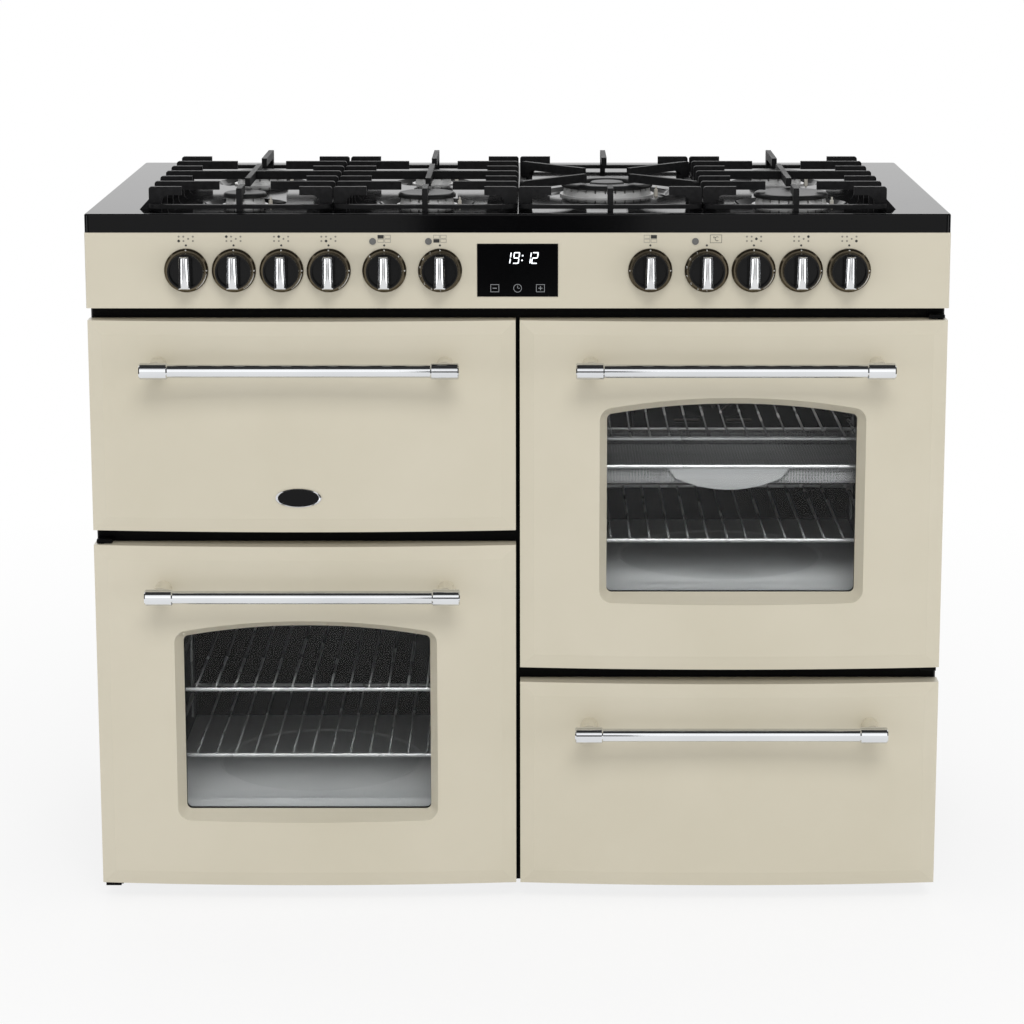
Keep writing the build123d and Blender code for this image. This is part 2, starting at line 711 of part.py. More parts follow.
def make_basket():
    """Crisping basket: thin floor and walls in a wire rim, with a plain smiling tab in front."""
    rim = right_oven_bottom + BASKET_LEVEL
    half = rack_x - RAIL_WIRE
    front, back = SHELF_FRONT + RAIL_WIRE, SHELF_FRONT + BASKET_DEPTH
    floor = rim - BASKET_WALL
    with BuildPart() as basket:
        slab(door_x - half, door_x + half, front, back, floor, floor + BASKET_SHEET)
        for depth in (front, back - BASKET_SHEET):
            slab(door_x - half, door_x + half, depth, depth + BASKET_SHEET, floor, rim)
        for side in (-1, 1):
            ends = sorted((door_x + side * half, door_x + side * (half - BASKET_SHEET)))
            slab(*ends, front, back, floor, rim)
            rod_y(door_x + side * rack_x, front - RAIL_WIRE / 2, back, rim, RACK_WIRE)
        for depth in (front - RAIL_WIRE / 2, back):
            rod_x(door_x - rack_x - WIRE, door_x + rack_x + WIRE, depth, rim, RAIL_WIRE)
        with BuildSketch(front_plane(front - RAIL_WIRE / 2)):
            with BuildLine():
                Polyline(
                    (door_x - TAB_NECK / 2, rim - TAB_HEIGHT / 2),
                    (door_x - TAB_WIDTH / 2, rim),
                    (door_x + TAB_WIDTH / 2, rim),
                    (door_x + TAB_NECK / 2, rim - TAB_HEIGHT / 2),
                )
                ThreePointArc(
                    (door_x - TAB_NECK / 2, rim - TAB_HEIGHT / 2),
                    (door_x, rim - TAB_HEIGHT),
                    (door_x + TAB_NECK / 2, rim - TAB_HEIGHT / 2),
                )
            make_face()
        extrude(amount=BASKET_SHEET)
    save(basket, "crisping_basket")


def make_elements():
    """Grill element, the left oven's top element and the ring element round the fan."""
    run = OVEN_WIDTH / 2 - 3 * RACK_STAND
    front, back = at_depth(SHELF_FRONT), at_depth(oven_back)
    turn = back - 8 * RACK_STAND
    half_path = [
        (run, back),
        (run, front),
        (run / 2, front),
        (run / 2, turn),
        (run / 4, turn),
        (run / 4, front),
    ]
    with BuildPart() as elements:
        for roof in (grill_floor + GRILL_HEIGHT, left_floor + OVEN_HEIGHT):
            z = roof - ELEMENT / 2 - 3 * RACK_STAND
            points = [(-door_x - x, y, z) for x, y in half_path]
            points += [(-door_x + x, y, z) for x, y in reversed(half_path)]
            with BuildLine() as path:
                FilletPolyline(*points, radius=2 * ELEMENT)
            with BuildSketch(Plane(path.line @ 0, z_dir=path.line % 0)):
                Circle(ELEMENT / 2)
            sweep(path=path.line)
        with Locations(Plane.XZ.offset(-at_depth(oven_back - ELEMENT / 2)) * Location((door_x, fan_z, 0))):
            Torus(RING_ELEMENT / 2, ELEMENT / 2)
    save(elements, "heating_elements")


def make_fan():
    """Oven fan behind its cover, with the motor and shaft outside the chamber."""
    cover_face = oven_back - FAN_SPACE - SHEET
    with BuildPart() as cover:
        rod_y(door_x, cover_face, oven_back, fan_z, FAN_COVER)
        rod_y(door_x, cover_face + SHEET, oven_back + 1, fan_z, FAN_COVER - 2 * SHEET, Mode.SUBTRACT)
        with BuildSketch(front_plane(cover_face + SHEET)):
            with Locations((door_x, fan_z)):
                with PolarLocations(FAN / 4, FAN_SLOTS):
                    SlotOverall(FAN / 4, FAN / 25)
        extrude(amount=SHEET, mode=Mode.SUBTRACT)
    save(cover, "fan_cover")

    hub_front = cover_face + SHEET + 2 * MOVE_GAP
    with BuildPart() as fan:
        rod_y(door_x, hub_front, hub_front + FAN_BLADE_DEPTH, fan_z, FAN_HUB)
        with Locations(front_plane(hub_front + FAN_BLADE_DEPTH / 2) * Location((door_x, fan_z, 0))):
            with PolarLocations(FAN / 4, FAN_BLADES):
                Box(FAN / 2 - FAN_HUB / 4, SHEET, FAN_BLADE_DEPTH)
        bore = FAN_SHAFT + 2 * SHAFT_FIT
        rod_y(door_x, hub_front - 1, hub_front + FAN_BLADE_DEPTH + 1, fan_z, bore, Mode.SUBTRACT)
    save(fan, "oven_fan")

    motor_face = oven_back + SHEET
    with BuildPart() as motor:
        rod_y(door_x, motor_face, motor_face + MOTOR_DEPTH, fan_z, MOTOR)
        rod_y(door_x, hub_front, motor_face, fan_z, FAN_SHAFT)
    save(motor, "fan_motor")


# Hob


def make_hob():
    """One-piece pressed hob top with a shallow round well under each burner."""
    with BuildPart() as hob:
        slab(-WIDTH / 2, WIDTH / 2, 0, DEPTH, fascia_top, HOB_HEIGHT)
        fillet(hob.edges().filter_by(Axis.Z), HOB_CORNER)
        fillet(hob.faces().sort_by(Axis.Z)[-1].edges(), EDGE_ROUND)
        inside = WIDTH / 2 - SHEET
        slab(-inside, inside, SHEET, DEPTH - SHEET, fascia_top - 1, HOB_HEIGHT - SHEET, Mode.SUBTRACT)
        for x, depth, cap in BURNERS:
            rod_z(x, depth, well_floor - SHEET, HOB_HEIGHT - SHEET, cap + 2 * WELL_MARGIN + SHEET)
        for x, depth, cap in BURNERS:
            with Locations((x, at_depth(depth), well_floor)):
                Cone(
                    cap / 2 + WELL_MARGIN - WELL_DEPTH,
                    cap / 2 + WELL_MARGIN,
                    WELL_DEPTH,
                    align=(Align.CENTER, Align.CENTER, Align.MIN),
                    mode=Mode.SUBTRACT,
                )
            below, above = well_floor - SHEET - 1, well_floor + 1
            rod_z(x, depth, below, above, cap * CUP_SHARE + CUP_CLEAR, Mode.SUBTRACT)
            rod_z(x + cap / 2 + SPARK, depth, below, above, SPARK + 2 * SPARK_CLEAR, Mode.SUBTRACT)
    save(hob, "hob_top")


def make_burners():
    """Burner cups, slotted crowns, caps and spark electrodes, grouped by kind."""
    base_top = well_floor + BURNER_BASE
    crown_top = base_top + CROWN_HEIGHT
    with BuildPart() as bodies:
        for x, depth, cap in BURNERS:
            rod_z(x, depth, well_floor, base_top, cap + 2 * BURNER_LIP)
            rod_z(x, depth, well_floor - CUP_HEIGHT, well_floor, cap * CUP_SHARE)
    save(bodies, "burner_bodies")

    with BuildPart() as crowns:
        for x, depth, cap in BURNERS:
            slots = round(cap / PORT_PITCH)
            with Locations((x, at_depth(depth), base_top)):
                foot = cap / 2 - CROWN_SLOPE
                Cone(foot, foot - CROWN_SLOPE, CROWN_HEIGHT, align=(Align.CENTER, Align.CENTER, Align.MIN))
            with BuildSketch(Plane.XY.offset(crown_top)):
                with Locations((x, at_depth(depth))):
                    with PolarLocations(cap / 2, slots):
                        Rectangle(cap / 4, PORT)
            extrude(amount=-PORT_DEPTH, mode=Mode.SUBTRACT)
    save(crowns, "burner_crowns")

    wok_x, wok_depth = BURNERS[4][:2]
    with BuildPart() as caps:
        for x, depth, cap in BURNERS:
            rod_z(x, depth, crown_top, crown_top + CAP_HEIGHT, cap)
        rod_z(wok_x, wok_depth, crown_top, crown_top + CAP_HEIGHT, WOK_RING, Mode.SUBTRACT)
        rod_z(wok_x, wok_depth, crown_top, crown_top + CAP_HEIGHT, WOK_CAP)
        fillet(caps.edges().filter_by(GeomType.CIRCLE).group_by(Axis.Z)[-1], CAP_EDGE)
    save(caps, "burner_caps")

    with BuildPart() as sparks:
        for x, depth, cap in BURNERS:
            place, root = x + cap / 2 + SPARK, well_floor - CUP_HEIGHT / 2
            shoulder = base_top + CROWN_HEIGHT / 2
            rod_z(place, depth, root, shoulder, SPARK)
            rod_z(place, depth, shoulder, crown_top - 1, SPARK / 2)
            cup = x + cap * CUP_SHARE / 2
            slab(cup, place, depth - SPARK / 4, depth + SPARK / 4, root, root + SPARK / 2)
    save(sparks, "igniters")


def finger(x, depth, way_x, way_y, reach, flare=0):
    """One cast finger on its leg, pointing along the given way; an outer leg may flare at the foot."""
    length = hypot(way_x, way_y)
    way = Vector(way_x / length, way_y / length, 0)
    under = SUPPORT_HEIGHT - FINGER_HEIGHT
    shoulder = SUPPORT_HEIGHT - FINGER_ROUND
    upright = Plane((x, at_depth(depth), HOB_HEIGHT), x_dir=way, z_dir=way.cross(Vector(0, 0, 1)))
    with BuildSketch(upright) as profile:
        with BuildLine():
            Polyline((-flare, 0), (0, FLARE_HEIGHT), (0, shoulder))
            TangentArc((0, shoulder), (FINGER_ROUND, SUPPORT_HEIGHT), tangent=(0, 1))
            inner = LEG + LEG_ROUND
            Polyline((FINGER_ROUND, SUPPORT_HEIGHT), (reach, SUPPORT_HEIGHT), (reach, under), (inner, under))
            TangentArc((inner, under), (LEG, under - LEG_ROUND), tangent=(-1, 0))
            Polyline((LEG, under - LEG_ROUND), (LEG, 0), (-flare, 0))
        make_face()
    extrude(profile.sketch, amount=FINGER / 2, both=True)


def spine(x, depth, way, reach):
    """Fore-and-aft finger that grows from the cross bar."""
    ends = sorted((depth, depth + way * reach))
    top = HOB_HEIGHT + SUPPORT_HEIGHT
    slab(x - FINGER / 2, x + FINGER / 2, *ends, top - FINGER_HEIGHT, top)


def base_rail(x):
    """Low rounded frame on which a pan support stands."""
    middle = at_depth(SUPPORT_FRONT + SUPPORT_LENGTH / 2)
    with BuildSketch(Plane.XY.offset(HOB_HEIGHT + RAIL_LIFT)) as ring:
        with Locations((x, middle)):
            RectangleRounded(support_width, SUPPORT_LENGTH, 2 * RAIL)
            RectangleRounded(support_width - 2 * RAIL, SUPPORT_LENGTH - 2 * RAIL, RAIL, mode=Mode.SUBTRACT)
    extrude(ring.sketch, amount=RAIL_HEIGHT)


def make_twin_support(label, x, outer):
    """Pan support over two burners: seven rows of side fingers and a broken spine."""
    half = support_width / 2
    reaches = (SHORT_REACH, MEDIUM_REACH, SHORT_REACH, half, SHORT_REACH, MEDIUM_REACH, SHORT_REACH)
    back = SUPPORT_FRONT + SUPPORT_LENGTH
    with BuildPart() as support:
        base_rail(x)
        for row, reach in enumerate(reaches):
            depth = ROW_START + row * ROW_PITCH
            for side in (-1, 1):
                at_corner = side == outer and row in (0, len(reaches) - 1)
                finger(x + side * half, depth, -side, 0, reach, FLARE if at_corner else 0)
        finger(x, SUPPORT_FRONT, 0, 1, burner_front - SUPPORT_FRONT - BURNER_CLEAR)
        finger(x, back, 0, -1, back - burner_rear - BURNER_CLEAR)
        for way in (-1, 1):
            spine(x, burner_middle, way, ROW_PITCH * 2 - BURNER_CLEAR)
    save(support, label)


def make_wok_support(label, x):
    """Pan support over the wok burner: corner stubs, four slanting fingers and a front and rear finger."""
    half = support_width / 2
    back = SUPPORT_FRONT + SUPPORT_LENGTH
    with BuildPart() as support:
        base_rail(x)
        for side in (-1, 1):
            for row in (0, 6):
                finger(x + side * half, ROW_START + row * ROW_PITCH, -side, 0, SHORT_REACH)
            for row in (1, 5):
                rise = (3 - row) * ROW_PITCH
                reach = hypot(half, rise) - WOK_CLEAR
                finger(x + side * (half - FINGER / 2), ROW_START + row * ROW_PITCH, -side * half, rise, reach)
        finger(x, SUPPORT_FRONT, 0, 1, SHORT_REACH)
        finger(x, back, 0, -1, LONG_REACH)
    save(support, label)


# Controls


def make_fascia():
    """Cream control fascia with its display, lamps and the bracket behind it."""
    half = WIDTH / 2
    with BuildPart() as fascia:
        slab(-half, half, 0, frame_face, fascia_bottom, fascia_top)
        fillet(fascia.edges().filter_by(Axis.Z).group_by(Axis.Y)[0], EDGE_ROUND)
        low, high = fascia_bottom + SHEET, fascia_top - SHEET
        slab(-half + SHEET, half - SHEET, SHEET, frame_face + 1, low, high, Mode.SUBTRACT)
        for x in KNOB_PLACES:
            rod_y(x, -1, SHEET + 1, knob_z, SPINDLE_HOLE, Mode.SUBTRACT)
        for i in LAMP_KNOBS:
            rod_y(KNOB_PLACES[i] - LAMP_SIDE, -1, SHEET + 1, knob_z + LAMP_UP, LAMP, Mode.SUBTRACT)
        display_w, display_h = DISPLAY_WIDTH / 2, DISPLAY_HEIGHT / 2
        slab(-display_w, display_w, -1, SHEET + 1, knob_z - display_h, knob_z + display_h, Mode.SUBTRACT)
    save(fascia, "control_fascia")

    with BuildPart() as display:
        slab(-display_w, display_w, -DISPLAY_PROUD, SHEET, knob_z - display_h, knob_z + display_h)
        fillet(display.faces().sort_by(Axis.Y)[0].edges(), DISPLAY_PROUD / 2)
        case_w, case_h = display_w * DISPLAY_CASE, display_h * DISPLAY_CASE
        slab(-case_w, case_w, SHEET, control_face, knob_z - case_h, knob_z + case_h)
    save(display, "timer_display")

    with BuildPart() as lamps:
        for i in LAMP_KNOBS:
            rod_y(KNOB_PLACES[i] - LAMP_SIDE, -DISPLAY_PROUD, SHEET, knob_z + LAMP_UP, LAMP)
    save(lamps, "indicator_lamps")

    inner = chassis_half - SHEET
    with BuildPart() as bracket:
        slab(-inner, inner, control_face, control_back, fascia_bottom, fascia_top)
        for x in KNOB_PLACES:
            rod_y(x, control_face - 1, control_back + 1, knob_z, SPINDLE_HOLE, Mode.SUBTRACT)
    save(bracket, "control_bracket")


def make_taps():
    """Gas rail with a tap behind each gas knob, and the switches behind the other four."""
    half = TAP / 2
    inner = chassis_half - SHEET
    bore = SPINDLE + 2 * SHAFT_FIT
    bore_depth = SPINDLE_LENGTH + NEAR
    with BuildPart() as rail:
        rod_x(-inner, inner, rail_depth, knob_z, GAS_PIPE)
        rod_y(inlet_x, rail_depth, back_depth, knob_z, FEED_PIPE)
        rod_y(inlet_x, back_depth, DEPTH, knob_z, GAS_PIPE)
        for i in GAS_KNOBS:
            x = KNOB_PLACES[i]
            slab(x - half, x + half, control_back, rail_depth, knob_z - half, knob_z + half)
            rod_y(x, control_back - 1, bore_depth, knob_z, bore, Mode.SUBTRACT)
    save(rail, "gas_rail")

    with BuildPart() as switches:
        for i, x in enumerate(KNOB_PLACES):
            if i not in GAS_KNOBS:
                slab(x - half, x + half, control_back, control_back + TAP_DEPTH, knob_z - half, knob_z + half)
                rod_y(x, control_back - 1, bore_depth, knob_z, bore, Mode.SUBTRACT)
    save(switches, "oven_switches")


def make_knob(label, x):
    """Knob: marked skirt with its spindle, black dished body and raised chrome grip."""
    skirt_face = KNOB_GAP + SKIRT_DEPTH
    body_face = skirt_face + KNOB_DEPTH
    with BuildPart() as knob:
        rod_y(x, -skirt_face, -KNOB_GAP, knob_z, SKIRT)
        chamfer(knob.edges().group_by(Axis.Y)[0], SKIRT_DEPTH / 2)
        rod_y(x, -KNOB_GAP, SPINDLE_LENGTH, knob_z, SPINDLE)
        with Locations(front_plane(-skirt_face) * Location((x, knob_z, 0))):
            foot = KNOB / 2
            Cone(foot, foot - KNOB_DRAFT, KNOB_DEPTH, align=(Align.CENTER, Align.CENTER, Align.MIN))
        with BuildSketch(front_plane(-body_face)):
            with Locations((x, knob_z)):
                Circle(KNOB_DISH / 2)
                Rectangle(KNOB_RIB, KNOB, mode=Mode.SUBTRACT)
        extrude(amount=-DISH_DEPTH, mode=Mode.SUBTRACT)
        with BuildSketch(front_plane(-body_face)):
            with BuildLine():
                low, high = knob_z - GRIP_LENGTH / 2, knob_z + GRIP_LENGTH / 2
                Polyline(
                    (x - GRIP_TOP / 2, high),
                    (x - GRIP_BOTTOM / 2, low),
                    (x + GRIP_BOTTOM / 2, low),
                    (x + GRIP_TOP / 2, high),
                    close=True,
                )
            make_face()
        extrude(amount=GRIP_DEPTH, taper=GRIP_TAPER)
        fillet(knob.faces().sort_by(Axis.Y)[0].edges(), GRIP_EDGE)
    save(knob, label)


make_cabinet()
make_hinge_brackets()
make_seals()
make_chambers()
make_drawer()
make_doors()
make_hob()
make_burners()
for number, place in enumerate(support_x, 1):
    if number == 3:
        make_wok_support(f"pan_support_{number}", place)
    else:
        make_twin_support(f"pan_support_{number}", place, {1: -1, 4: 1}.get(number, 0))
make_fascia()
make_taps()
for number, place in enumerate(KNOB_PLACES, 1):
    make_knob(f"knob_{number}", place)
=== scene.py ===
import logging
import math
import random
from dataclasses import dataclass
from enum import Enum
from typing import Callable, Sequence

import bmesh
import bpy
from mathutils import Matrix, Vector


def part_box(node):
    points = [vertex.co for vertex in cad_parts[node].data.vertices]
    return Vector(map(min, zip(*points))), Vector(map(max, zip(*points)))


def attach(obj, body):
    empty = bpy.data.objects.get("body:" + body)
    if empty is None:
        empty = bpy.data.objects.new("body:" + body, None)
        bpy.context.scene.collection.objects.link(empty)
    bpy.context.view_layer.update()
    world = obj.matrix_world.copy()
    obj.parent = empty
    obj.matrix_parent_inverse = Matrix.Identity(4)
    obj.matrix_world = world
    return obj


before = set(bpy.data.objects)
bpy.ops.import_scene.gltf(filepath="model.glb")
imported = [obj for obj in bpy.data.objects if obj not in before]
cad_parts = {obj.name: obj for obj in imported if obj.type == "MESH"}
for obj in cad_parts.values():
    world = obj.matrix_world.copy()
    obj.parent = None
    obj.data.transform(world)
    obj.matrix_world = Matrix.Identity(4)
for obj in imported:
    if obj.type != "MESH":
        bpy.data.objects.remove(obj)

LOG = logging.getLogger("range_cooker")
MM = 0.001
FRONT_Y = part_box("hob_top")[0].y
REARWARD = Vector((0, 1, 0))
Rgb = tuple[int, int, int]
Flat = tuple[float, float]
Point = tuple[float, float, float]
Surface = Callable[[float, float], Vector]
Socket = bpy.types.NodeSocket
Node = bpy.types.Node
Group = bpy.types.NodeTree


def spot(x: float, depth: float, z: float) -> Vector:
    """Place in the row frame of a point given in millimetres.

    Args:
        x: Distance right of the middle.
        depth: Distance behind the front plane.
        z: Height above the floor.

    Returns:
        The point in metres.
    """
    return Vector((x * MM, FRONT_Y + depth * MM, z * MM))


def on_circle(radius: float, degrees: float) -> Flat:
    """Returns the flat place on a circle at an angle from the right, anticlockwise."""
    turn = math.radians(degrees)
    return radius * math.cos(turn), radius * math.sin(turn)


def linear(colour: Rgb) -> tuple[float, float, float, float]:
    """Turns an 8-bit display colour into the linear colour that shaders take."""
    parts = [c / 255 for c in colour]
    parts = [p / 12.92 if p <= 0.04045 else ((p + 0.055) / 1.055) ** 2.4 for p in parts]
    return (parts[0], parts[1], parts[2], 1.0)


class Tree:
    """A node tree with short calls for making and joining nodes."""

    MIX_FIRST = 6
    MIX_SECOND = 7
    MIX_RESULT = 2

    def __init__(self, tree: Group) -> None:
        """Wraps a tree."""
        self.tree = tree

    def feed(self, node: Node, inputs: dict[str | int, object]) -> None:
        """Links other sockets into a node's inputs, or sets plain values on them.

        Args:
            node: The node.
            inputs: An output socket or a plain value for each input's name or number.
        """
        for key, value in inputs.items():
            if isinstance(value, Socket):
                self.tree.links.new(value, node.inputs[key])
            else:
                node.inputs[key].default_value = value

    def node(self, kind: str, inputs: dict[str | int, object] | None = None, **settings: object) -> Node:
        """Adds a node.

        Args:
            kind: Blender's name of the node type.
            inputs: What goes into it.
            settings: Attributes to set on it.

        Returns:
            The new node.
        """
        made = self.tree.nodes.new(kind)
        for key, value in settings.items():
            setattr(made, key, value)
        self.feed(made, inputs or {})
        return made

    def math(self, operation: str, first: object, second: object) -> Socket:
        """Returns what a Math node makes of two values."""
        return self.node("ShaderNodeMath", {0: first, 1: second}, operation=operation).outputs[0]

    def mix(self, factor: object, first: object, second: object, blend: str = "MIX") -> Socket:
        """Returns two colours mixed, where the factor is the share of the second."""
        inputs = {0: factor, self.MIX_FIRST: first, self.MIX_SECOND: second}
        return self.node("ShaderNodeMix", inputs, data_type="RGBA", blend_type=blend).outputs[self.MIX_RESULT]

    def spread(
        self, value: object, low: float = 0.0, high: float = 1.0, to_low: float = 0.0, to_high: float = 1.0
    ) -> Socket:
        """Returns a value mapped from one span to another and held inside it."""
        inputs = dict(enumerate((value, low, high, to_low, to_high)))
        return self.node("ShaderNodeMapRange", inputs, clamp=True).outputs[0]

    def noise(self, coords: Socket, scale: object, detail: float = 3.0, roughness: float = 0.55) -> Socket:
        """Returns the grey value of a noise texture."""
        inputs = {"Vector": coords, "Scale": scale, "Detail": detail, "Roughness": roughness}
        return self.node("ShaderNodeTexNoise", inputs).outputs[0]

    def cells(self, scale: Socket, distance: str = "EUCLIDEAN", randomness: float = 1.0) -> Node:
        """Returns a cell texture on object coordinates."""
        inputs = {"Vector": self.object_coords(), "Scale": scale, "Randomness": randomness}
        return self.node("ShaderNodeTexVoronoi", inputs, feature="F1", distance=distance)

    def object_coords(self, stretch: Point = (1.0, 1.0, 1.0)) -> Socket:
        """Returns object coordinates, stretched along the axes."""
        inputs = {"Vector": self.node("ShaderNodeTexCoord").outputs["Object"], "Scale": stretch}
        return self.node("ShaderNodeMapping", inputs, vector_type="POINT").outputs[0]

    def effect(self, group: Group, value: float) -> Socket:
        """Places a shared effect with its own value and returns its output."""
        return self.node("ShaderNodeGroup", {0: value}, node_tree=group).outputs[0]

    def choose(self, mask: Socket, first: Node, second: Node) -> Socket:
        """Returns the first shader where the mask is 0 and the second where it is 1."""
        inputs = {0: mask, 1: first.outputs[0], 2: second.outputs[0]}
        return self.node("ShaderNodeMixShader", inputs).outputs[0]


# Shared effects

ALONG_BRUSH = 8.0
ACROSS_BRUSH = 900.0
COARSE_SHARE = 0.2
RUB_BREAKS = 160.0


def soft_patches(tree: Tree, scale: Socket) -> Socket:
    """Broad, soft unevenness."""
    return tree.spread(tree.noise(tree.object_coords(), scale, detail=4.0, roughness=0.5), low=0.3, high=0.7)


def enamel_peel(tree: Tree, scale: Socket) -> Socket:
    """Slight waviness of fired enamel and sprayed paint."""
    return tree.noise(tree.object_coords(), scale, detail=1.5, roughness=0.4)


def grain_across(tree: Tree, scale: Socket) -> Socket:
    """Brush lines that run across."""
    coords = tree.object_coords((ALONG_BRUSH, ACROSS_BRUSH, ACROSS_BRUSH))
    return tree.noise(coords, scale, detail=2.0, roughness=0.6)


def grain_up(tree: Tree, scale: Socket) -> Socket:
    """Brush lines that run upwards."""
    coords = tree.object_coords((ACROSS_BRUSH, ACROSS_BRUSH, ALONG_BRUSH))
    return tree.noise(coords, scale, detail=2.0, roughness=0.6)


def cast_skin(tree: Tree, scale: Socket) -> Socket:
    """Sandy skin of a casting, fine over coarse.

    Args:
        tree: The group's tree.
        scale: Fineness of the grains.

    Returns:
        The effect's value.
    """
    coords = tree.object_coords()
    fine = tree.noise(coords, scale, detail=4.0, roughness=0.7)
    coarse = tree.noise(coords, tree.math("MULTIPLY", scale, COARSE_SHARE), detail=2.0, roughness=0.5)
    return tree.math("ADD", fine, coarse)


def zinc_spangle(tree: Tree, scale: Socket) -> Socket:
    """Crystal patches of galvanised sheet."""
    return tree.node("ShaderNodeRGBToBW", {0: tree.cells(scale).outputs["Color"]}).outputs[0]


def woven_braid(tree: Tree, scale: Socket) -> Socket:
    """Crossing yarns of a braided seal.

    Args:
        tree: The group's tree.
        scale: Fineness of the yarns.

    Returns:
        The effect's value.
    """
    heights = []
    for axis in ("X", "Z"):
        inputs = {"Vector": tree.object_coords(), "Scale": scale}
        wave = tree.node("ShaderNodeTexWave", inputs, wave_type="BANDS", bands_direction=axis)
        heights.append(wave.outputs["Fac"])
    return tree.math("MAXIMUM", *heights)


def rubbed_edges(tree: Tree, amount: Socket) -> Socket:
    """Worn outer edges, broken up along their way.

    Args:
        tree: The group's tree.
        amount: How far they are worn.

    Returns:
        The effect's value.
    """
    edge = tree.spread(tree.node("ShaderNodeNewGeometry").outputs["Pointiness"], low=0.52, high=0.62)
    broken = tree.spread(tree.noise(tree.object_coords(), RUB_BREAKS), low=0.35, high=0.6, to_low=0.2)
    return tree.math("MULTIPLY", tree.math("MULTIPLY", edge, broken), amount)


def settled_dust(tree: Tree, scale: Socket) -> Socket:
    """Fine dust where a face looks up.

    Args:
        tree: The group's tree.
        scale: Fineness of the clouds.

    Returns:
        The effect's value.
    """
    axes = tree.node("ShaderNodeSeparateXYZ", {0: tree.node("ShaderNodeNewGeometry").outputs["Normal"]})
    up = tree.spread(axes.outputs[2], low=0.6)
    cloud = tree.noise(tree.object_coords(), scale, detail=6.0, roughness=0.6)
    return tree.math("MULTIPLY", up, tree.spread(cloud, low=0.4, high=0.75))


def enamel_flecks(tree: Tree, scale: Socket) -> Socket:
    """Small pale flecks in oven enamel."""
    return tree.spread(tree.cells(scale).outputs["Distance"], low=0.1, high=0.22, to_low=1.0, to_high=0.0)


def fine_netting(tree: Tree, scale: Socket) -> Socket:
    """Dark openings between the close wires of a woven net."""
    cells = tree.cells(scale, distance="CHEBYCHEV", randomness=0.35)
    return tree.spread(cells.outputs["Distance"], low=0.24, high=0.4, to_low=1.0, to_high=0.0)


class Grain(Enum):
    """Kinds of fine surface relief."""

    PEEL = "peel"
    BRUSHED_ACROSS = "across"
    BRUSHED_UP = "up"
    CAST = "cast"
    SPANGLE = "spangle"
    WOVEN = "woven"


RELIEFS = {
    Grain.PEEL: enamel_peel,
    Grain.BRUSHED_ACROSS: grain_across,
    Grain.BRUSHED_UP: grain_up,
    Grain.CAST: cast_skin,
    Grain.SPANGLE: zinc_spangle,
    Grain.WOVEN: woven_braid,
}
SHADED_GRAINS = (Grain.SPANGLE, Grain.BRUSHED_ACROSS, Grain.BRUSHED_UP)


class SurfaceGroups:
    """Node groups for effects that several finishes share, each made once."""

    def __init__(self) -> None:
        """Builds every group."""
        self.patches = self.make(soft_patches, "Scale", "Mask")
        self.rub = self.make(rubbed_edges, "Amount", "Mask")
        self.dust = self.make(settled_dust, "Scale", "Mask")
        self.flecks = self.make(enamel_flecks, "Scale", "Mask")
        self.netting = self.make(fine_netting, "Scale", "Mask")
        self.reliefs = {grain: self.make(fill, "Scale", "Height") for grain, fill in RELIEFS.items()}

    def make(self, fill: Callable[[Tree, Socket], Socket], entry: str, result: str) -> Group:
        """Makes one group, named after the function that fills it.

        Args:
            fill: Adds the inner nodes and returns the result.
            entry: Name of the input.
            result: Name of the output.

        Returns:
            The group.
        """
        group = bpy.data.node_groups.new(fill.__name__, "ShaderNodeTree")
        group.interface.new_socket(name=entry, in_out="INPUT", socket_type="NodeSocketFloat")
        group.interface.new_socket(name=result, in_out="OUTPUT", socket_type="NodeSocketFloat")
        tree = Tree(group)
        value = tree.node("NodeGroupInput").outputs[0]
        tree.node("NodeGroupOutput", {0: fill(tree, value)})
        return group


# Finishes


def new_material(name: str) -> tuple[bpy.types.Material, Tree, Node]:
    """Starts a material.

    Args:
        name: Name of the material.

    Returns:
        The material, its tree and its Principled shader.
    """
    material = bpy.data.materials.new(name)
    material.use_nodes = True
    return material, Tree(material.node_tree), material.node_tree.nodes["Principled BSDF"]


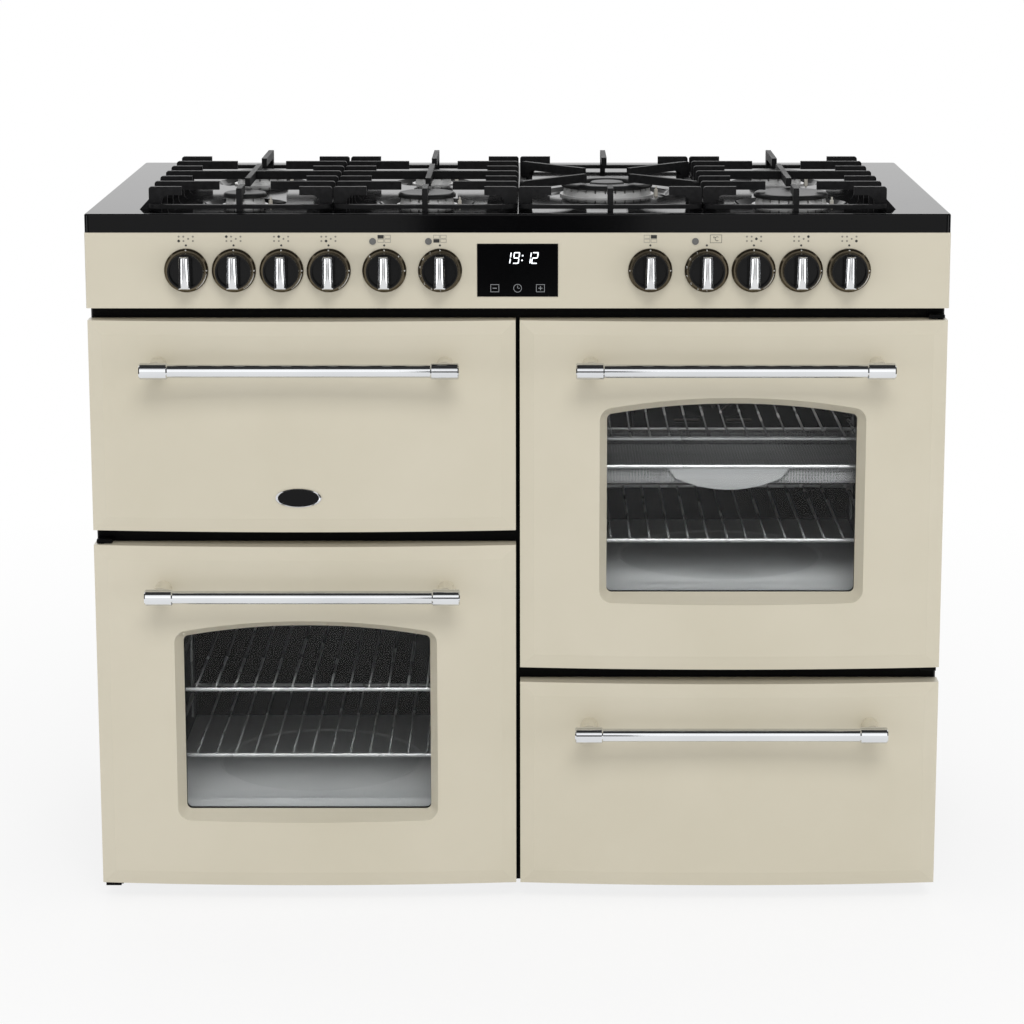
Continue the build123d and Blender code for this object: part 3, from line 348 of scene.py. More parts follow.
@dataclass(frozen=True)
class Finish:
    """An opaque finish: paint, enamel, plastic, iron or bright metal."""

    name: str
    colour: Rgb
    tint: Rgb
    roughness: float
    rough_spread: float = 0.06
    metallic: float = 0.0
    coat: float = 0.0
    coat_roughness: float = 0.1
    specular: float = 0.5
    grain: Grain = Grain.PEEL
    grain_scale: float = 700.0
    grain_span: Flat = (0.2, 0.8)
    grain_shade: float = 0.86
    bump: float = 0.05
    bump_height: float = 0.5
    patch_scale: float = 6.0
    rub: float = 0.0
    rub_colour: Rgb = (120, 118, 114)
    dust: float = 0.0
    dust_scale: float = 30.0
    dust_roughness: float = 0.4
    dust_colour: Rgb = (150, 146, 138)
    flecks: float = 0.0
    fleck_scale: float = 420.0
    fleck_colour: Rgb = (60, 62, 66)
    netting: float = 0.0
    netting_colour: Rgb = (12, 12, 13)
    glow: float = 0.0

    def build(self, groups: SurfaceGroups) -> bpy.types.Material:
        """Makes the material.

        Args:
            groups: The shared effects.

        Returns:
            The finished material.
        """
        material, tree, shader = new_material(self.name)
        patches = tree.effect(groups.patches, self.patch_scale)
        colour = tree.mix(patches, linear(self.colour), linear(self.tint))
        roughness = tree.spread(patches, to_low=self.roughness, to_high=self.roughness + self.rough_spread)
        colour, roughness = self.wear(tree, groups, colour, roughness)
        height = tree.effect(groups.reliefs[self.grain], self.grain_scale)
        if self.grain in SHADED_GRAINS:
            lines = tree.spread(height, *self.grain_span, -self.rough_spread, self.rough_spread)
            roughness = tree.math("ADD", roughness, lines)
            shade = tree.spread(height, *self.grain_span, to_low=self.grain_shade)
            colour = tree.mix(1.0, colour, shade, "MULTIPLY")
        relief = {"Strength": self.bump, "Distance": self.bump_height * MM, "Height": height}
        inputs = {
            "Base Color": colour,
            "Roughness": roughness,
            "Normal": tree.node("ShaderNodeBump", relief).outputs[0],
            "Metallic": self.metallic,
            "Specular IOR Level": self.specular,
            "Coat Weight": self.coat,
            "Coat Roughness": self.coat_roughness,
        }
        tree.feed(shader, inputs)
        if self.glow > 0.0:
            tree.feed(shader, {"Emission Color": colour, "Emission Strength": self.glow})
        return material

    def wear(
        self, tree: Tree, groups: SurfaceGroups, colour: Socket, roughness: Socket
    ) -> tuple[Socket, Socket]:
        """Adds flecks, netting, rubbed edges and dust where the finish has them.

        Args:
            tree: The material's tree.
            groups: The shared effects.
            colour: Colour so far.
            roughness: Roughness so far.

        Returns:
            The new colour and roughness.
        """
        if self.flecks > 0.0:
            flecks = tree.math("MULTIPLY", tree.effect(groups.flecks, self.fleck_scale), self.flecks)
            colour = tree.mix(flecks, colour, linear(self.fleck_colour))
        if self.netting > 0.0:
            colour = tree.mix(tree.effect(groups.netting, self.netting), colour, linear(self.netting_colour))
        if self.rub > 0.0:
            colour = tree.mix(tree.effect(groups.rub, self.rub), colour, linear(self.rub_colour))
        if self.dust > 0.0:
            dust = tree.math("MULTIPLY", tree.effect(groups.dust, self.dust_scale), self.dust)
            colour = tree.mix(dust, colour, linear(self.dust_colour))
            roughness = tree.math("ADD", roughness, tree.math("MULTIPLY", dust, self.dust_roughness))
        return colour, roughness


@dataclass(frozen=True)
class WindowGlass:
    """Clear oven glass that lets the studio light into the oven."""

    name: str
    colour: Rgb
    ior: float
    smear_scale: float = 14.0
    smear_roughness: float = 0.02

    def build(self, groups: SurfaceGroups) -> bpy.types.Material:
        """Makes the material.

        Args:
            groups: The shared effects.

        Returns:
            The finished material.
        """
        material, tree, shader = new_material(self.name)
        roughness = tree.spread(tree.effect(groups.patches, self.smear_scale), to_high=self.smear_roughness)
        colour = linear(self.colour)
        inputs = {"Base Color": colour, "Transmission Weight": 1.0, "IOR": self.ior, "Roughness": roughness}
        tree.feed(shader, inputs)
        clear = tree.node("ShaderNodeBsdfTransparent", {0: colour})
        shadow = tree.node("ShaderNodeLightPath").outputs["Is Shadow Ray"]
        tree.feed(material.node_tree.nodes["Material Output"], {0: tree.choose(shadow, shader, clear)})
        return material


CREAM = Finish(
    "cream_enamel", (210, 203, 184), (205, 198, 178), 0.36, coat=0.2, coat_roughness=0.25, bump=0.04
)
HOB_ENAMEL = Finish(
    "hob_enamel", (6, 6, 7), (9, 9, 10), 0.05, 0.05, specular=0.15, grain_scale=120.0, bump=0.02
)
OVEN_ENAMEL = Finish("oven_enamel", (10, 10, 11), (8, 8, 9), 0.36, specular=0.25, flecks=0.2)
CAP_ENAMEL = Finish(
    "burner_cap_enamel", (19, 19, 20), (26, 26, 27), 0.36, 0.12, specular=0.2, bump=0.12, rub=0.25
)
PLATE_BLACK = Finish("plate_black_enamel", (7, 7, 8), (10, 10, 11), 0.14, specular=0.15, bump=0.02)
SATIN_BLACK = Finish("satin_black_paint", (17, 17, 18), (22, 22, 23), 0.42, rub=0.3, bump=0.1)
FRAME_BLACK = Finish("frame_black_paint", (3, 3, 4), (6, 6, 6), 0.5, specular=0.08, bump=0.1)
SIDE_PAINT = Finish("side_panel_paint", (24, 24, 25), (29, 29, 30), 0.45, bump=0.12, dust=0.2)
FOOT_PLASTIC = Finish("foot_plastic", (20, 20, 20), (27, 27, 27), 0.5, bump=0.15, dust=0.3)
CERAMIC = Finish("spark_ceramic", (226, 222, 212), (206, 200, 188), 0.35, dust=0.3)
SEAL = Finish("woven_seal", (62, 62, 63), (40, 40, 41), 0.85, grain=Grain.WOVEN, grain_scale=220.0, bump=0.7)
CAST_IRON = Finish(
    "cast_iron", (12, 12, 13), (17, 17, 18), 0.48, 0.15, specular=0.2, grain=Grain.CAST, bump=0.3, rub=0.2,
    rub_colour=(52, 52, 54),
)
ZINC = Finish(
    "zinc_sheet", (172, 177, 182), (150, 155, 160), 0.36, 0.08, 0.9, grain=Grain.SPANGLE, grain_scale=70.0
)
PLATE_STEEL = Finish(
    "brushed_plate", (206, 206, 206), (190, 190, 190), 0.42, 0.05, 0.2,
    grain=Grain.BRUSHED_ACROSS, grain_scale=1.0,
)
# Steel of the base plate's round dish, darker than the plate: painted shade that deepens the recessed dish.
DISH_PAINTED_SHADE = Finish(
    "dish_steel_painted_shade", (196, 196, 196), (180, 180, 180), 0.4, 0.05, 0.2,
    grain=Grain.BRUSHED_ACROSS, grain_scale=1.0,
)
TAB_STEEL = Finish(
    "tab_steel", (142, 142, 142), (130, 130, 130), 0.36, 0.06, 0.3,
    grain=Grain.BRUSHED_ACROSS, grain_scale=1.0,
)
ALUMINIUM = Finish(
    "burner_aluminium", (226, 226, 225), (208, 208, 207), 0.3, 0.1, 0.25,
    grain=Grain.BRUSHED_ACROSS, grain_scale=0.6,
)
BRASS = Finish(
    "tap_brass", (196, 160, 92), (170, 132, 70), 0.3, 0.12, 1.0, grain=Grain.BRUSHED_UP, grain_scale=0.5
)
ELEMENT = Finish("element_steel", (86, 80, 76), (62, 58, 56), 0.42, 0.12, 0.8, grain=Grain.CAST, bump=0.1)
CHROME = Finish(
    "polished_chrome", (226, 228, 230), (214, 216, 219), 0.04, 0.04, 1.0, grain_scale=60.0, bump=0.01
)
WIRE_CHROME = Finish(
    "wire_chrome", (178, 178, 178), (162, 162, 162), 0.22, 0.1, 0.45, grain_scale=300.0, bump=0.04
)
NET_STEEL = Finish("net_steel", (134, 134, 134), (116, 116, 116), 0.42, 0.1, 0.2, bump=0.1, netting=520.0)
MESH_STEEL = Finish("mesh_steel", (132, 132, 132), (112, 112, 112), 0.34, 0.12, 0.4, grain_scale=900.0)
SCREW_STEEL = Finish(
    "screw_steel", (150, 153, 156), (128, 131, 134), 0.32, 0.1, 1.0, grain_scale=900.0, bump=0.06
)
PLATE_RIM = Finish("plate_rim", (222, 223, 224), (208, 209, 211), 0.08, 0.04, 1.0, bump=0.01)
KNOB_SKIRT = Finish("knob_skirt", (104, 95, 78), (88, 80, 66), 0.16, 0.06, 0.9, bump=0.02)
KNOB_BLACK = Finish("knob_black", (8, 8, 9), (11, 11, 12), 0.16, 0.08, specular=0.2, bump=0.03)
KNOB_GRIP = Finish(
    "knob_grip", (224, 225, 226), (210, 211, 212), 0.07, 0.04, 1.0, grain_scale=200.0, bump=0.02
)
DISPLAY = Finish("display_glass", (5, 5, 6), (7, 7, 8), 0.06, 0.04, specular=0.12, bump=0.01)
LAMP = Finish("lamp_lens", (104, 104, 102), (92, 92, 90), 0.2, coat=0.4)
DIGITS = Finish("clock_digits", (244, 247, 250), (232, 238, 244), 0.4, glow=1.0)
TOUCH_MARKS = Finish("touch_marks", (126, 128, 130), (112, 114, 116), 0.4, glow=0.25)
DARK_PRINT = Finish("dark_print", (34, 33, 31), (44, 43, 40), 0.5, bump=0.02)
GREY_PRINT = Finish("grey_print", (128, 124, 114), (140, 136, 125), 0.5, bump=0.02)
WHITE_PRINT = Finish("white_print", (226, 226, 222), (212, 212, 208), 0.45, bump=0.02)
GLASS = WindowGlass("window_glass", (247, 248, 248), 1.14)


class Palette:
    """Makes each finish once and hands out its material."""

    def __init__(self) -> None:
        """Builds the shared effects."""
        self.groups = SurfaceGroups()
        self.made: dict[str, bpy.types.Material] = {}

    def get(self, finish: Finish | WindowGlass) -> bpy.types.Material:
        """Returns the material of a finish, making it on first use."""
        if finish.name not in self.made:
            self.made[finish.name] = finish.build(self.groups)
        return self.made[finish.name]

    def dress(self, finish: Finish | WindowGlass, *nodes: str) -> None:
        """Gives CAD nodes one finish all over.

        Args:
            finish: The finish.
            nodes: Names of the nodes.
        """
        for node in nodes:
            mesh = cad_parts[node].data
            mesh.materials.clear()
            mesh.materials.append(self.get(finish))
            LOG.info("dressed %s with %s", node, finish.name)

    def split(self, node: str, finishes: Sequence[Finish], choose: Callable[[Vector, Vector], int]) -> None:
        """Gives a CAD node several finishes.

        Args:
            node: Name of the node.
            finishes: The finishes in order.
            choose: Picks a finish's number from a face's centre and normal; the centre is given in
                millimetres as x, depth and z.
        """
        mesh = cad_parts[node].data
        mesh.materials.clear()
        for finish in finishes:
            mesh.materials.append(self.get(finish))
        for face in mesh.polygons:
            at = face.center
            place = Vector((at.x / MM, (at.y - FRONT_Y) / MM, at.z / MM))
            face.material_index = choose(place, face.normal)
        LOG.info("dressed %s with %d finishes", node, len(finishes))


# Meshes


class Piece:
    """A mesh in the making, gathered from small closed shapes."""

    SMOOTH_UNDER = math.radians(35)
    WIRE_SIDES = 6

    def __init__(self, name: str) -> None:
        """Starts an empty mesh."""
        self.name = name
        self.mesh = bmesh.new()

    def prism(self, outline: Sequence[Vector], back: Vector, finish: int = 0) -> None:
        """Adds a flat shape with a thickness.

        Args:
            outline: Corners of the front face in order.
            back: Step from the front face to the rear face.
            finish: Number of the piece's finish.
        """
        front = [self.mesh.verts.new(p) for p in outline]
        rear = [self.mesh.verts.new(p + back) for p in outline]
        faces = [self.mesh.faces.new(front), self.mesh.faces.new(list(reversed(rear)))]
        for i in range(len(front)):
            j = (i + 1) % len(front)
            faces.append(self.mesh.faces.new((front[j], front[i], rear[i], rear[j])))
        for face in faces:
            face.material_index = finish

    def skin(self, rings: Sequence[Sequence[bmesh.types.BMVert]], finishes: Sequence[int]) -> None:
        """Joins closed rings of points into a smooth wall.

        Args:
            rings: The rings in order; the last one may be a single point.
            finishes: Number of the finish of each stretch between two rings.
        """
        steps = len(rings[0])
        for low, high, finish in zip(rings, rings[1:], finishes):
            for i in range(steps):
                j = (i + 1) % steps
                corners = [low[i], low[j], high[j % len(high)], high[i % len(high)]]
                face = self.mesh.faces.new(list(dict.fromkeys(corners)))
                face.material_index = finish
                face.smooth = True

    def turned(self, at: Vector, axis: Vector, outline: Sequence[Flat], steps: int) -> None:
        """Adds a turned shape with flat ends, in the piece's first finish.

        Args:
            at: Foot of its axis.
            axis: Way that the axis points.
            outline: Radius and height pairs in millimetres, from the foot up.
            steps: Faces round.
        """
        turn = axis.to_track_quat("Z", "Y").to_matrix().to_4x4()
        rings = []
        for radius, height in outline:
            places = [on_circle(radius, 360 * i / steps) for i in range(steps)]
            rings.append([self.mesh.verts.new(at + turn @ Vector((u, v, height)) * MM) for u, v in places])
        self.skin(rings, [0] * len(rings))
        self.mesh.faces.new(list(reversed(rings[0])))
        self.mesh.faces.new(rings[-1])

    def wire(self, start: Vector, end: Vector, width: float) -> None:
        """Adds a straight wire.

        Args:
            start: First end.
            end: Second end.
            width: Thickness in millimetres.
        """
        reach = (end - start).length / MM
        self.turned(start, end - start, ((width / 2, 0.0), (width / 2, reach)), self.WIRE_SIDES)

    def finish(self, palette: Palette, finishes: Sequence[Finish], body: str, slot: str) -> None:
        """Turns the gathered shapes into a piece on a body.

        Args:
            palette: Where materials come from.
            finishes: The finishes in order.
            body: CAD body that carries the piece.
            slot: Material slot of the record; not used.
        """
        data = bpy.data.meshes.new(self.name)
        bmesh.ops.recalc_face_normals(self.mesh, faces=self.mesh.faces)
        self.mesh.to_mesh(data)
        self.mesh.free()
        data.set_sharp_from_angle(angle=self.SMOOTH_UNDER)
        made = bpy.data.objects.new(self.name, data)
        bpy.context.scene.collection.objects.link(made)
        for finish in finishes:
            data.materials.append(palette.get(finish))
        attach(made, body)
        LOG.info("made %s on %s", self.name, body)


class Print:
    """Draws thin raised marks on a surface given as a map from flat places to points."""

    SEGMENTS = {
        "0": "abcdef", "1": "bc", "2": "abged", "3": "abgcd", "4": "fgbc",
        "5": "afgcd", "6": "afgedc", "7": "abc", "8": "abcdefg", "9": "abcdfg",
    }
    SEGMENT_GAP = 0.12
    SEGMENT_INSET = 0.6

    def __init__(self, piece: Piece, surface: Surface, film: float) -> None:
        """Sets what the marks go on.

        Args:
            piece: Mesh that takes the marks.
            surface: Gives the point in the row frame for a place across and up, in millimetres.
            film: Thickness of the print in millimetres.
        """
        self.piece = piece
        self.surface = surface
        self.back = REARWARD * film * MM

    def shape(self, corners: Sequence[Flat], finish: int = 0) -> None:
        """Adds a filled shape with the given corners."""
        self.piece.prism([self.surface(u, v) for u, v in corners], self.back, finish)

    def bar(self, x0: float, z0: float, x1: float, z1: float, finish: int = 0) -> None:
        """Adds an upright bar between two corners."""
        self.shape(((x0, z0), (x1, z0), (x1, z1), (x0, z1)), finish)

    def dot(self, x: float, z: float, radius: float, finish: int = 0, steps: int = 16) -> None:
        """Adds a round dot."""
        places = [on_circle(radius, 360 * i / steps) for i in range(steps)]
        self.shape([(x + u, z + v) for u, v in places], finish)

    def arc(self, x: float, z: float, radius: float, turn: Flat, widths: Flat, steps: int) -> None:
        """Adds a curved line that may swell along its way.

        Args:
            x: Centre across.
            z: Centre up.
            radius: Radius of its middle.
            turn: First and last angle in degrees.
            widths: Its width at the two ends.
            steps: Pieces along it.
        """
        stations = []
        for k in range(steps + 1):
            angle, width = (first + (last - first) * k / steps for first, last in (turn, widths))
            outer, inner = (on_circle(radius + side * width / 2, angle) for side in (1, -1))
            stations.append(((x + outer[0], z + outer[1]), (x + inner[0], z + inner[1])))
        for (outer, inner), (next_outer, next_inner) in zip(stations, stations[1:]):
            self.shape((outer, next_outer, next_inner, inner))

    def box(self, x: float, z: float, size: Flat, line: float, finish: int = 0) -> None:
        """Adds a box outline round a centre.

        Args:
            x: Centre across.
            z: Centre up.
            size: Width and height.
            line: Thickness of the outline.
            finish: Number of the piece's finish.
        """
        x0, x1, z0, z1 = x - size[0] / 2, x + size[0] / 2, z - size[1] / 2, z + size[1] / 2
        self.bar(x0, z0, x1, z0 + line, finish)
        self.bar(x0, z1 - line, x1, z1, finish)
        self.bar(x0, z0 + line, x0 + line, z1 - line, finish)
        self.bar(x1 - line, z0 + line, x1, z1 - line, finish)

    def digit(self, number: str, x: float, z: float, size: Flat, line: float, slant: float = 0.0) -> None:
        """Adds a seven-bar digit.

        Args:
            number: One figure.
            x: Its left edge.
            z: Its foot.
            size: Its width and height.
            line: Thickness of a bar.
            slant: Lean to the right over its height.
        """
        width, height = size
        half, gap, inset = height / 2, line * self.SEGMENT_GAP, line * self.SEGMENT_INSET
        lower, upper = (line / 2, half - line / 2 - gap), (half + line / 2 + gap, height - line / 2)
        left, right, across = (0.0, line), (width - line, width), (inset, width - inset)
        bars = {
            "a": (across, (height - line, height)),
            "b": (right, upper),
            "c": (right, lower),
            "d": (across, (0.0, line)),
            "e": (left, lower),
            "f": (left, upper),
            "g": (across, (half - line / 2, half + line / 2)),
        }
        for name in self.SEGMENTS[number]:
            (x0, x1), (z0, z1) = bars[name]
            corners = ((x0, z0), (x1, z0), (x1, z1), (x0, z1))
            self.shape([(x + u + slant * v, z + v) for u, v in corners])


@dataclass(frozen=True)
class Softbox:
    """One soft lamp, placed in metres."""

    name: str
    place: Point
    target: Point
    width: float
    height: float
    power: float
    spread: float = 180.0
    in_chrome: bool = True

    def build(self) -> None:
        """Hangs the lamp and aims it."""
        data = bpy.data.lights.new(self.name, "AREA")
        data.shape = "RECTANGLE"
        data.size, data.size_y, data.energy = self.width, self.height, self.power
        data.spread = math.radians(self.spread)
        lamp = bpy.data.objects.new(self.name, data)
        lamp.location = self.place
        lamp.rotation_euler = (Vector(self.target) - lamp.location).to_track_quat("-Z", "Y").to_euler()
        lamp.visible_glossy = self.in_chrome
        bpy.context.scene.collection.objects.link(lamp)


# The cooker


@dataclass
class Assembly:
    """A sub-assembly of the cooker, with its sizes in millimetres and the materials that it draws on."""

    palette: Palette

    def dress(self) -> None:
        """Gives the CAD nodes their finishes."""

    def build(self) -> None:
        """Adds the pieces that the solids leave out, if there are any."""


class Range(Enum):
    """What a knob turns."""

    GAS = "gas"
    GRILL = "grill"
    OVEN = "oven"
    MODE = "mode"


RIM_DOTS = {
    Range.GAS: (90.0, 0.0),
    Range.GRILL: (90.0, 135.0, 45.0, 0.0),
    Range.OVEN: (90.0,),
    Range.MODE: (90.0, 180.0, 0.0),
}


@dataclass(frozen=True)
class Knob:
    """Place of a knob, what it turns and the burner or compartment that its map fills in."""

    x: float
    kind: Range
    filled: int | None = None


@dataclass
class ControlPanel(Assembly):
    """Fascia with its printed maps, clock display, lamps and eleven knobs."""

    knobs: tuple[Knob, ...] = (
        Knob(-421.0, Range.GAS, 0),
        Knob(-360.5, Range.GAS, 1),
        Knob(-300.0, Range.GAS, 3),
        Knob(-240.0, Range.GAS, 2),
        Knob(-169.3, Range.GRILL, 0),
        Knob(-98.5, Range.OVEN, 1),
        Knob(168.6, Range.MODE, 2),
        Knob(240.3, Range.OVEN),
        Knob(300.0, Range.GAS, 4),
        Knob(360.0, Range.GAS, 6),
        Knob(421.0, Range.GAS, 5),
    )
    knob_z: float = 843.0
    spindle_face: float = 0.3
    skirt_face: float = 5.5
    skirt_flat: float = 25.5
    body_face: float = 17.5
    grip_face: float = 29.5
    face_slack: float = 0.05
    film: float = 0.12
    dot_z: float = 874.8
    index_dot: float = 1.35
    icon_z: float = 883.2
    burner_spots: tuple[Flat, ...] = (
        (-9.0, -2.8), (-9.0, 2.8), (-3.0, -2.8), (-3.0, 2.8), (3.0, 0.0), (9.0, -2.8), (9.0, 2.8)
    )
    burner_dot: float = 1.7
    other_dot: float = 1.25
    cell: Flat = (7.8, 4.6)
    cell_pitch: Flat = (8.8, 5.2)
    map_line: float = 0.5
    degree_offset: float = 11.5
    degree_box: Flat = (15.0, 10.6)
    degree_ring: Point = (-2.6, 1.9, 0.85)
    degree_letter: Point = (1.4, 0.0, 2.55)
    letter_turn: Flat = (50.0, 310.0)
    letter_line: float = 0.7
    display_face: float = 1.0
    clock: str = "1912"
    clock_z: float = 851.3
    digit_places: tuple[float, ...] = (-17.4, -6.6, 8.2, 17.0)
    digit: Flat = (8.0, 15.0)
    digit_line: float = 1.4
    digit_slant: float = 0.14
    colon_x: float = 5.0
    colon_dot: float = 1.05
    colon_shares: Flat = (0.3, 0.7)
    touch_places: Point = (-29.0, 0.0, 29.0)
    touch_z: float = 820.0
    touch_box: Flat = (11.0, 10.0)
    touch_line: float = 0.7
    sign_reach: float = 2.6
    sign_half: float = 0.5
    touch_gap: float = 0.05
    clock_ring: float = 5.05
    long_hand: float = 3.4
    short_hand: float = 2.8
    rim_inset: float = 0.4
    rim_dot: float = 0.9
    flame_turn: Flat = (-8.0, -62.0)
    flame_widths: Flat = (0.5, 1.7)
    figure: Flat = (1.6, 2.6)
    figure_line: float = 0.4
    figure_count: int = 7
    figure_start: float = 120.0
    figure_step: float = 25.0
    strip_stations: tuple[Point, ...] = (
        (20.6, 11.0, 0.4), (20.2, 11.6, 2.4), (19.4, 12.0, 3.6), (18.2, 12.1, 3.9), (0.0, 13.0, 3.9),
        (-18.2, 14.0, 3.9), (-19.4, 14.1, 3.6), (-20.2, 13.9, 2.4), (-20.6, 13.4, 0.4),
    )
    strip_steps: int = 14
    strip_sink: float = 0.3
    strip_edge: float = 0.6

    def dress(self) -> None:
        """Gives the panel's CAD nodes their finishes."""
        self.palette.dress(CREAM, "control_fascia")
        self.palette.dress(DISPLAY, "timer_display")
        self.palette.dress(LAMP, "indicator_lamps")
        self.palette.dress(ZINC, "control_bracket", "oven_switches")
        self.palette.dress(BRASS, "gas_rail")
        for number in range(1, len(self.knobs) + 1):
            self.palette.split(f"knob_{number}", (ZINC, KNOB_SKIRT, KNOB_BLACK, KNOB_GRIP), self.knob_part)

    def knob_part(self, place: Vector, normal: Vector) -> int:
        """Picks spindle, skirt, body or grip by how far forward a face stands."""
        edges = (self.spindle_face, self.skirt_face + self.face_slack, self.body_face + self.face_slack)
        return sum(place.y <= -edge for edge in edges)

    def build(self) -> None:
        """Adds the fascia print, the clock, and the marks and strips of the knobs."""
        self.print_fascia()
        self.print_clock()
        self.print_touch_marks()
        for number, knob in enumerate(self.knobs, 1):
            self.mark_knob(number, knob)
            self.cap_grip(number, knob)

    def on_fascia(self, u: float, v: float) -> Vector:
        """Returns a point on the outside of the fascia's print."""
        return spot(u, -self.film, v)

    def on_display(self, u: float, v: float) -> Vector:
        """Returns a point on the outside of the display's print."""
        return spot(u, -self.display_face - self.film, v)

    def print_fascia(self) -> None:
        """Adds index dots and small maps above the knobs."""
        piece = Piece("fascia_print")
        ink = Print(piece, self.on_fascia, self.film)
        for knob in self.knobs:
            ink.dot(knob.x, self.dot_z, self.index_dot)
            if knob.kind is Range.GAS:
                self.print_burners(ink, knob)
            elif knob.filled is None:
                self.print_degrees(ink, knob.x + self.degree_offset)
            else:
                self.print_compartments(ink, knob)
        piece.finish(self.palette, (DARK_PRINT, GREY_PRINT), "cabinet", "black_paint")

    def print_burners(self, ink: Print, knob: Knob) -> None:
        """Adds a map of the seven burners with the knob's own one larger and darker."""
        for number, (u, v) in enumerate(self.burner_spots):
            radius, finish = (self.burner_dot, 0) if number == knob.filled else (self.other_dot, 1)
            ink.dot(knob.x + u, self.icon_z + v, radius, finish)

    def print_compartments(self, ink: Print, knob: Knob) -> None:
        """Adds a map of the four compartments with one filled in.

        Args:
            ink: Print of the fascia.
            knob: The knob below the map.
        """
        width, height = self.cell
        for number, (side, up) in enumerate(((-1, 1), (-1, -1), (1, 1), (1, -1))):
            x = knob.x + side * self.cell_pitch[0] / 2
            z = self.icon_z + up * self.cell_pitch[1] / 2
            if number == knob.filled:
                ink.bar(x - width / 2, z - height / 2, x + width / 2, z + height / 2)
            else:
                ink.box(x, z, self.cell, self.map_line, 1)

    def print_degrees(self, ink: Print, x: float) -> None:
        """Adds a boxed degree sign and C for the oven's temperature knob.

        Args:
            ink: Print of the fascia.
            x: Middle of the box.
        """
        ink.box(x, self.icon_z, self.degree_box, self.map_line)
        u, v, radius = self.degree_ring
        ink.arc(x + u, self.icon_z + v, radius, (0.0, 360.0), (self.map_line, self.map_line), steps=12)
        u, v, radius = self.degree_letter
        ink.arc(x + u, self.icon_z + v, radius, self.letter_turn, (self.letter_line,) * 2, steps=16)

    def print_clock(self) -> None:
        """Adds the clock figures to the display."""
        piece = Piece("clock_figures")
        ink = Print(piece, self.on_display, self.film)
        for number, x in zip(self.clock, self.digit_places):
            ink.digit(number, x, self.clock_z, self.digit, self.digit_line, self.digit_slant)
        for share in self.colon_shares:
            rise = share * self.digit[1]
            ink.dot(self.colon_x + self.digit_slant * rise, self.clock_z + rise, self.colon_dot)
        piece.finish(self.palette, (DIGITS,), "cabinet", "display_glass")

    def print_touch_marks(self) -> None:
        """Adds the minus, clock and plus marks to the display."""
        piece = Piece("touch_marks")
        ink = Print(piece, self.on_display, self.film)
        minus, clock, plus = self.touch_places
        z, half, reach, gap = self.touch_z, self.sign_half, self.sign_reach, self.touch_gap
        for x in (minus, plus):
            ink.box(x, z, self.touch_box, self.touch_line)
            ink.bar(x - reach, z - half, x + reach, z + half)
        ink.bar(plus - half, z - reach, plus + half, z - half - gap)
        ink.bar(plus - half, z + half + gap, plus + half, z + reach)
        ink.arc(clock, z, self.clock_ring, (0.0, 360.0), (self.touch_line, self.touch_line), steps=24)
        hand = self.touch_line / 2
        ink.bar(clock - hand, z, clock + hand, z + self.long_hand)
        ink.bar(clock + hand + gap, z - hand + gap, clock + self.short_hand, z + hand + gap)
        piece.finish(self.palette, (TOUCH_MARKS,), "cabinet", "display_glass")

    def mark_knob(self, number: int, knob: Knob) -> None:
        """Adds white marks on the sloping rim of one knob, which turn with it.

        Args:
            number: Number of the knob.
            knob: Its place and kind.
        """

        def rim(u: float, v: float) -> Vector:
            """Returns a point on the sloping rim for a place measured from the knob's centre."""
            depth = max(0.0, math.hypot(u, v) - self.skirt_flat) - self.skirt_face
            return spot(knob.x + u, depth - self.film, self.knob_z + v)

        piece = Piece(f"knob_{number}_marks")
        ink = Print(piece, rim, self.film)
        radius = self.skirt_flat + self.rim_inset
        for angle in RIM_DOTS[knob.kind]:
            ink.dot(*on_circle(radius, angle), self.rim_dot, steps=10)
        if knob.kind is Range.GAS:
            ink.arc(0.0, 0.0, radius, self.flame_turn, self.flame_widths, steps=14)
        if knob.kind is Range.OVEN:
            for k in range(self.figure_count):
                x, z = on_circle(radius, self.figure_start + k * self.figure_step)
                foot = (x - self.figure[0] / 2, z - self.figure[1] / 2)
                ink.digit(str(k + 1), *foot, self.figure, self.figure_line)
        piece.finish(self.palette, (WHITE_PRINT,), f"knob_{number}", "black_plastic")

    def cap_grip(self, number: int, knob: Knob) -> None:
        """Adds the polished rounded strip that caps the grip of one knob.

        Args:
            number: Number of the knob.
            knob: Its place and kind.
        """
        piece = Piece(f"knob_{number}_strip")
        rows = []
        for z, width, rise in self.strip_stations:
            row = []
            for k in range(self.strip_steps + 1):
                share = 2 * k / self.strip_steps - 1
                depth = self.strip_sink - self.grip_face - rise * (1 - share * share)
                row.append(piece.mesh.verts.new(spot(knob.x + share * width / 2, depth, self.knob_z + z)))
            rows.append(row)
        for high, low in zip(rows, rows[1:]):
            for k in range(self.strip_steps):
                face = piece.mesh.faces.new((low[k], low[k + 1], high[k + 1], high[k]))
                face.smooth = True
        rim = rows[0] + [row[-1] for row in rows[1:-1]] + list(reversed(rows[-1]))
        rim += [row[0] for row in reversed(rows[1:-1])]
        rear = [piece.mesh.verts.new(v.co + REARWARD * self.strip_edge * MM) for v in rim]
        for i in range(len(rim)):
            j = (i + 1) % len(rim)
            piece.mesh.faces.new((rim[i], rim[j], rear[j], rear[i]))
        piece.finish(self.palette, (KNOB_GRIP,), f"knob_{number}", "chrome")


@dataclass
class Hob(Assembly):
    """Black enamel hob with its seven burners and four cast pan supports."""

    supports: int = 4

    def dress(self) -> None:
        """Gives the hob's CAD nodes their finishes."""
        self.palette.dress(HOB_ENAMEL, "hob_top")
        self.palette.dress(CAST_IRON, *[f"pan_support_{i + 1}" for i in range(self.supports)])
        self.palette.dress(ALUMINIUM, "burner_bodies", "burner_crowns")
        self.palette.dress(CAP_ENAMEL, "burner_caps")
        self.palette.dress(CERAMIC, "igniters")


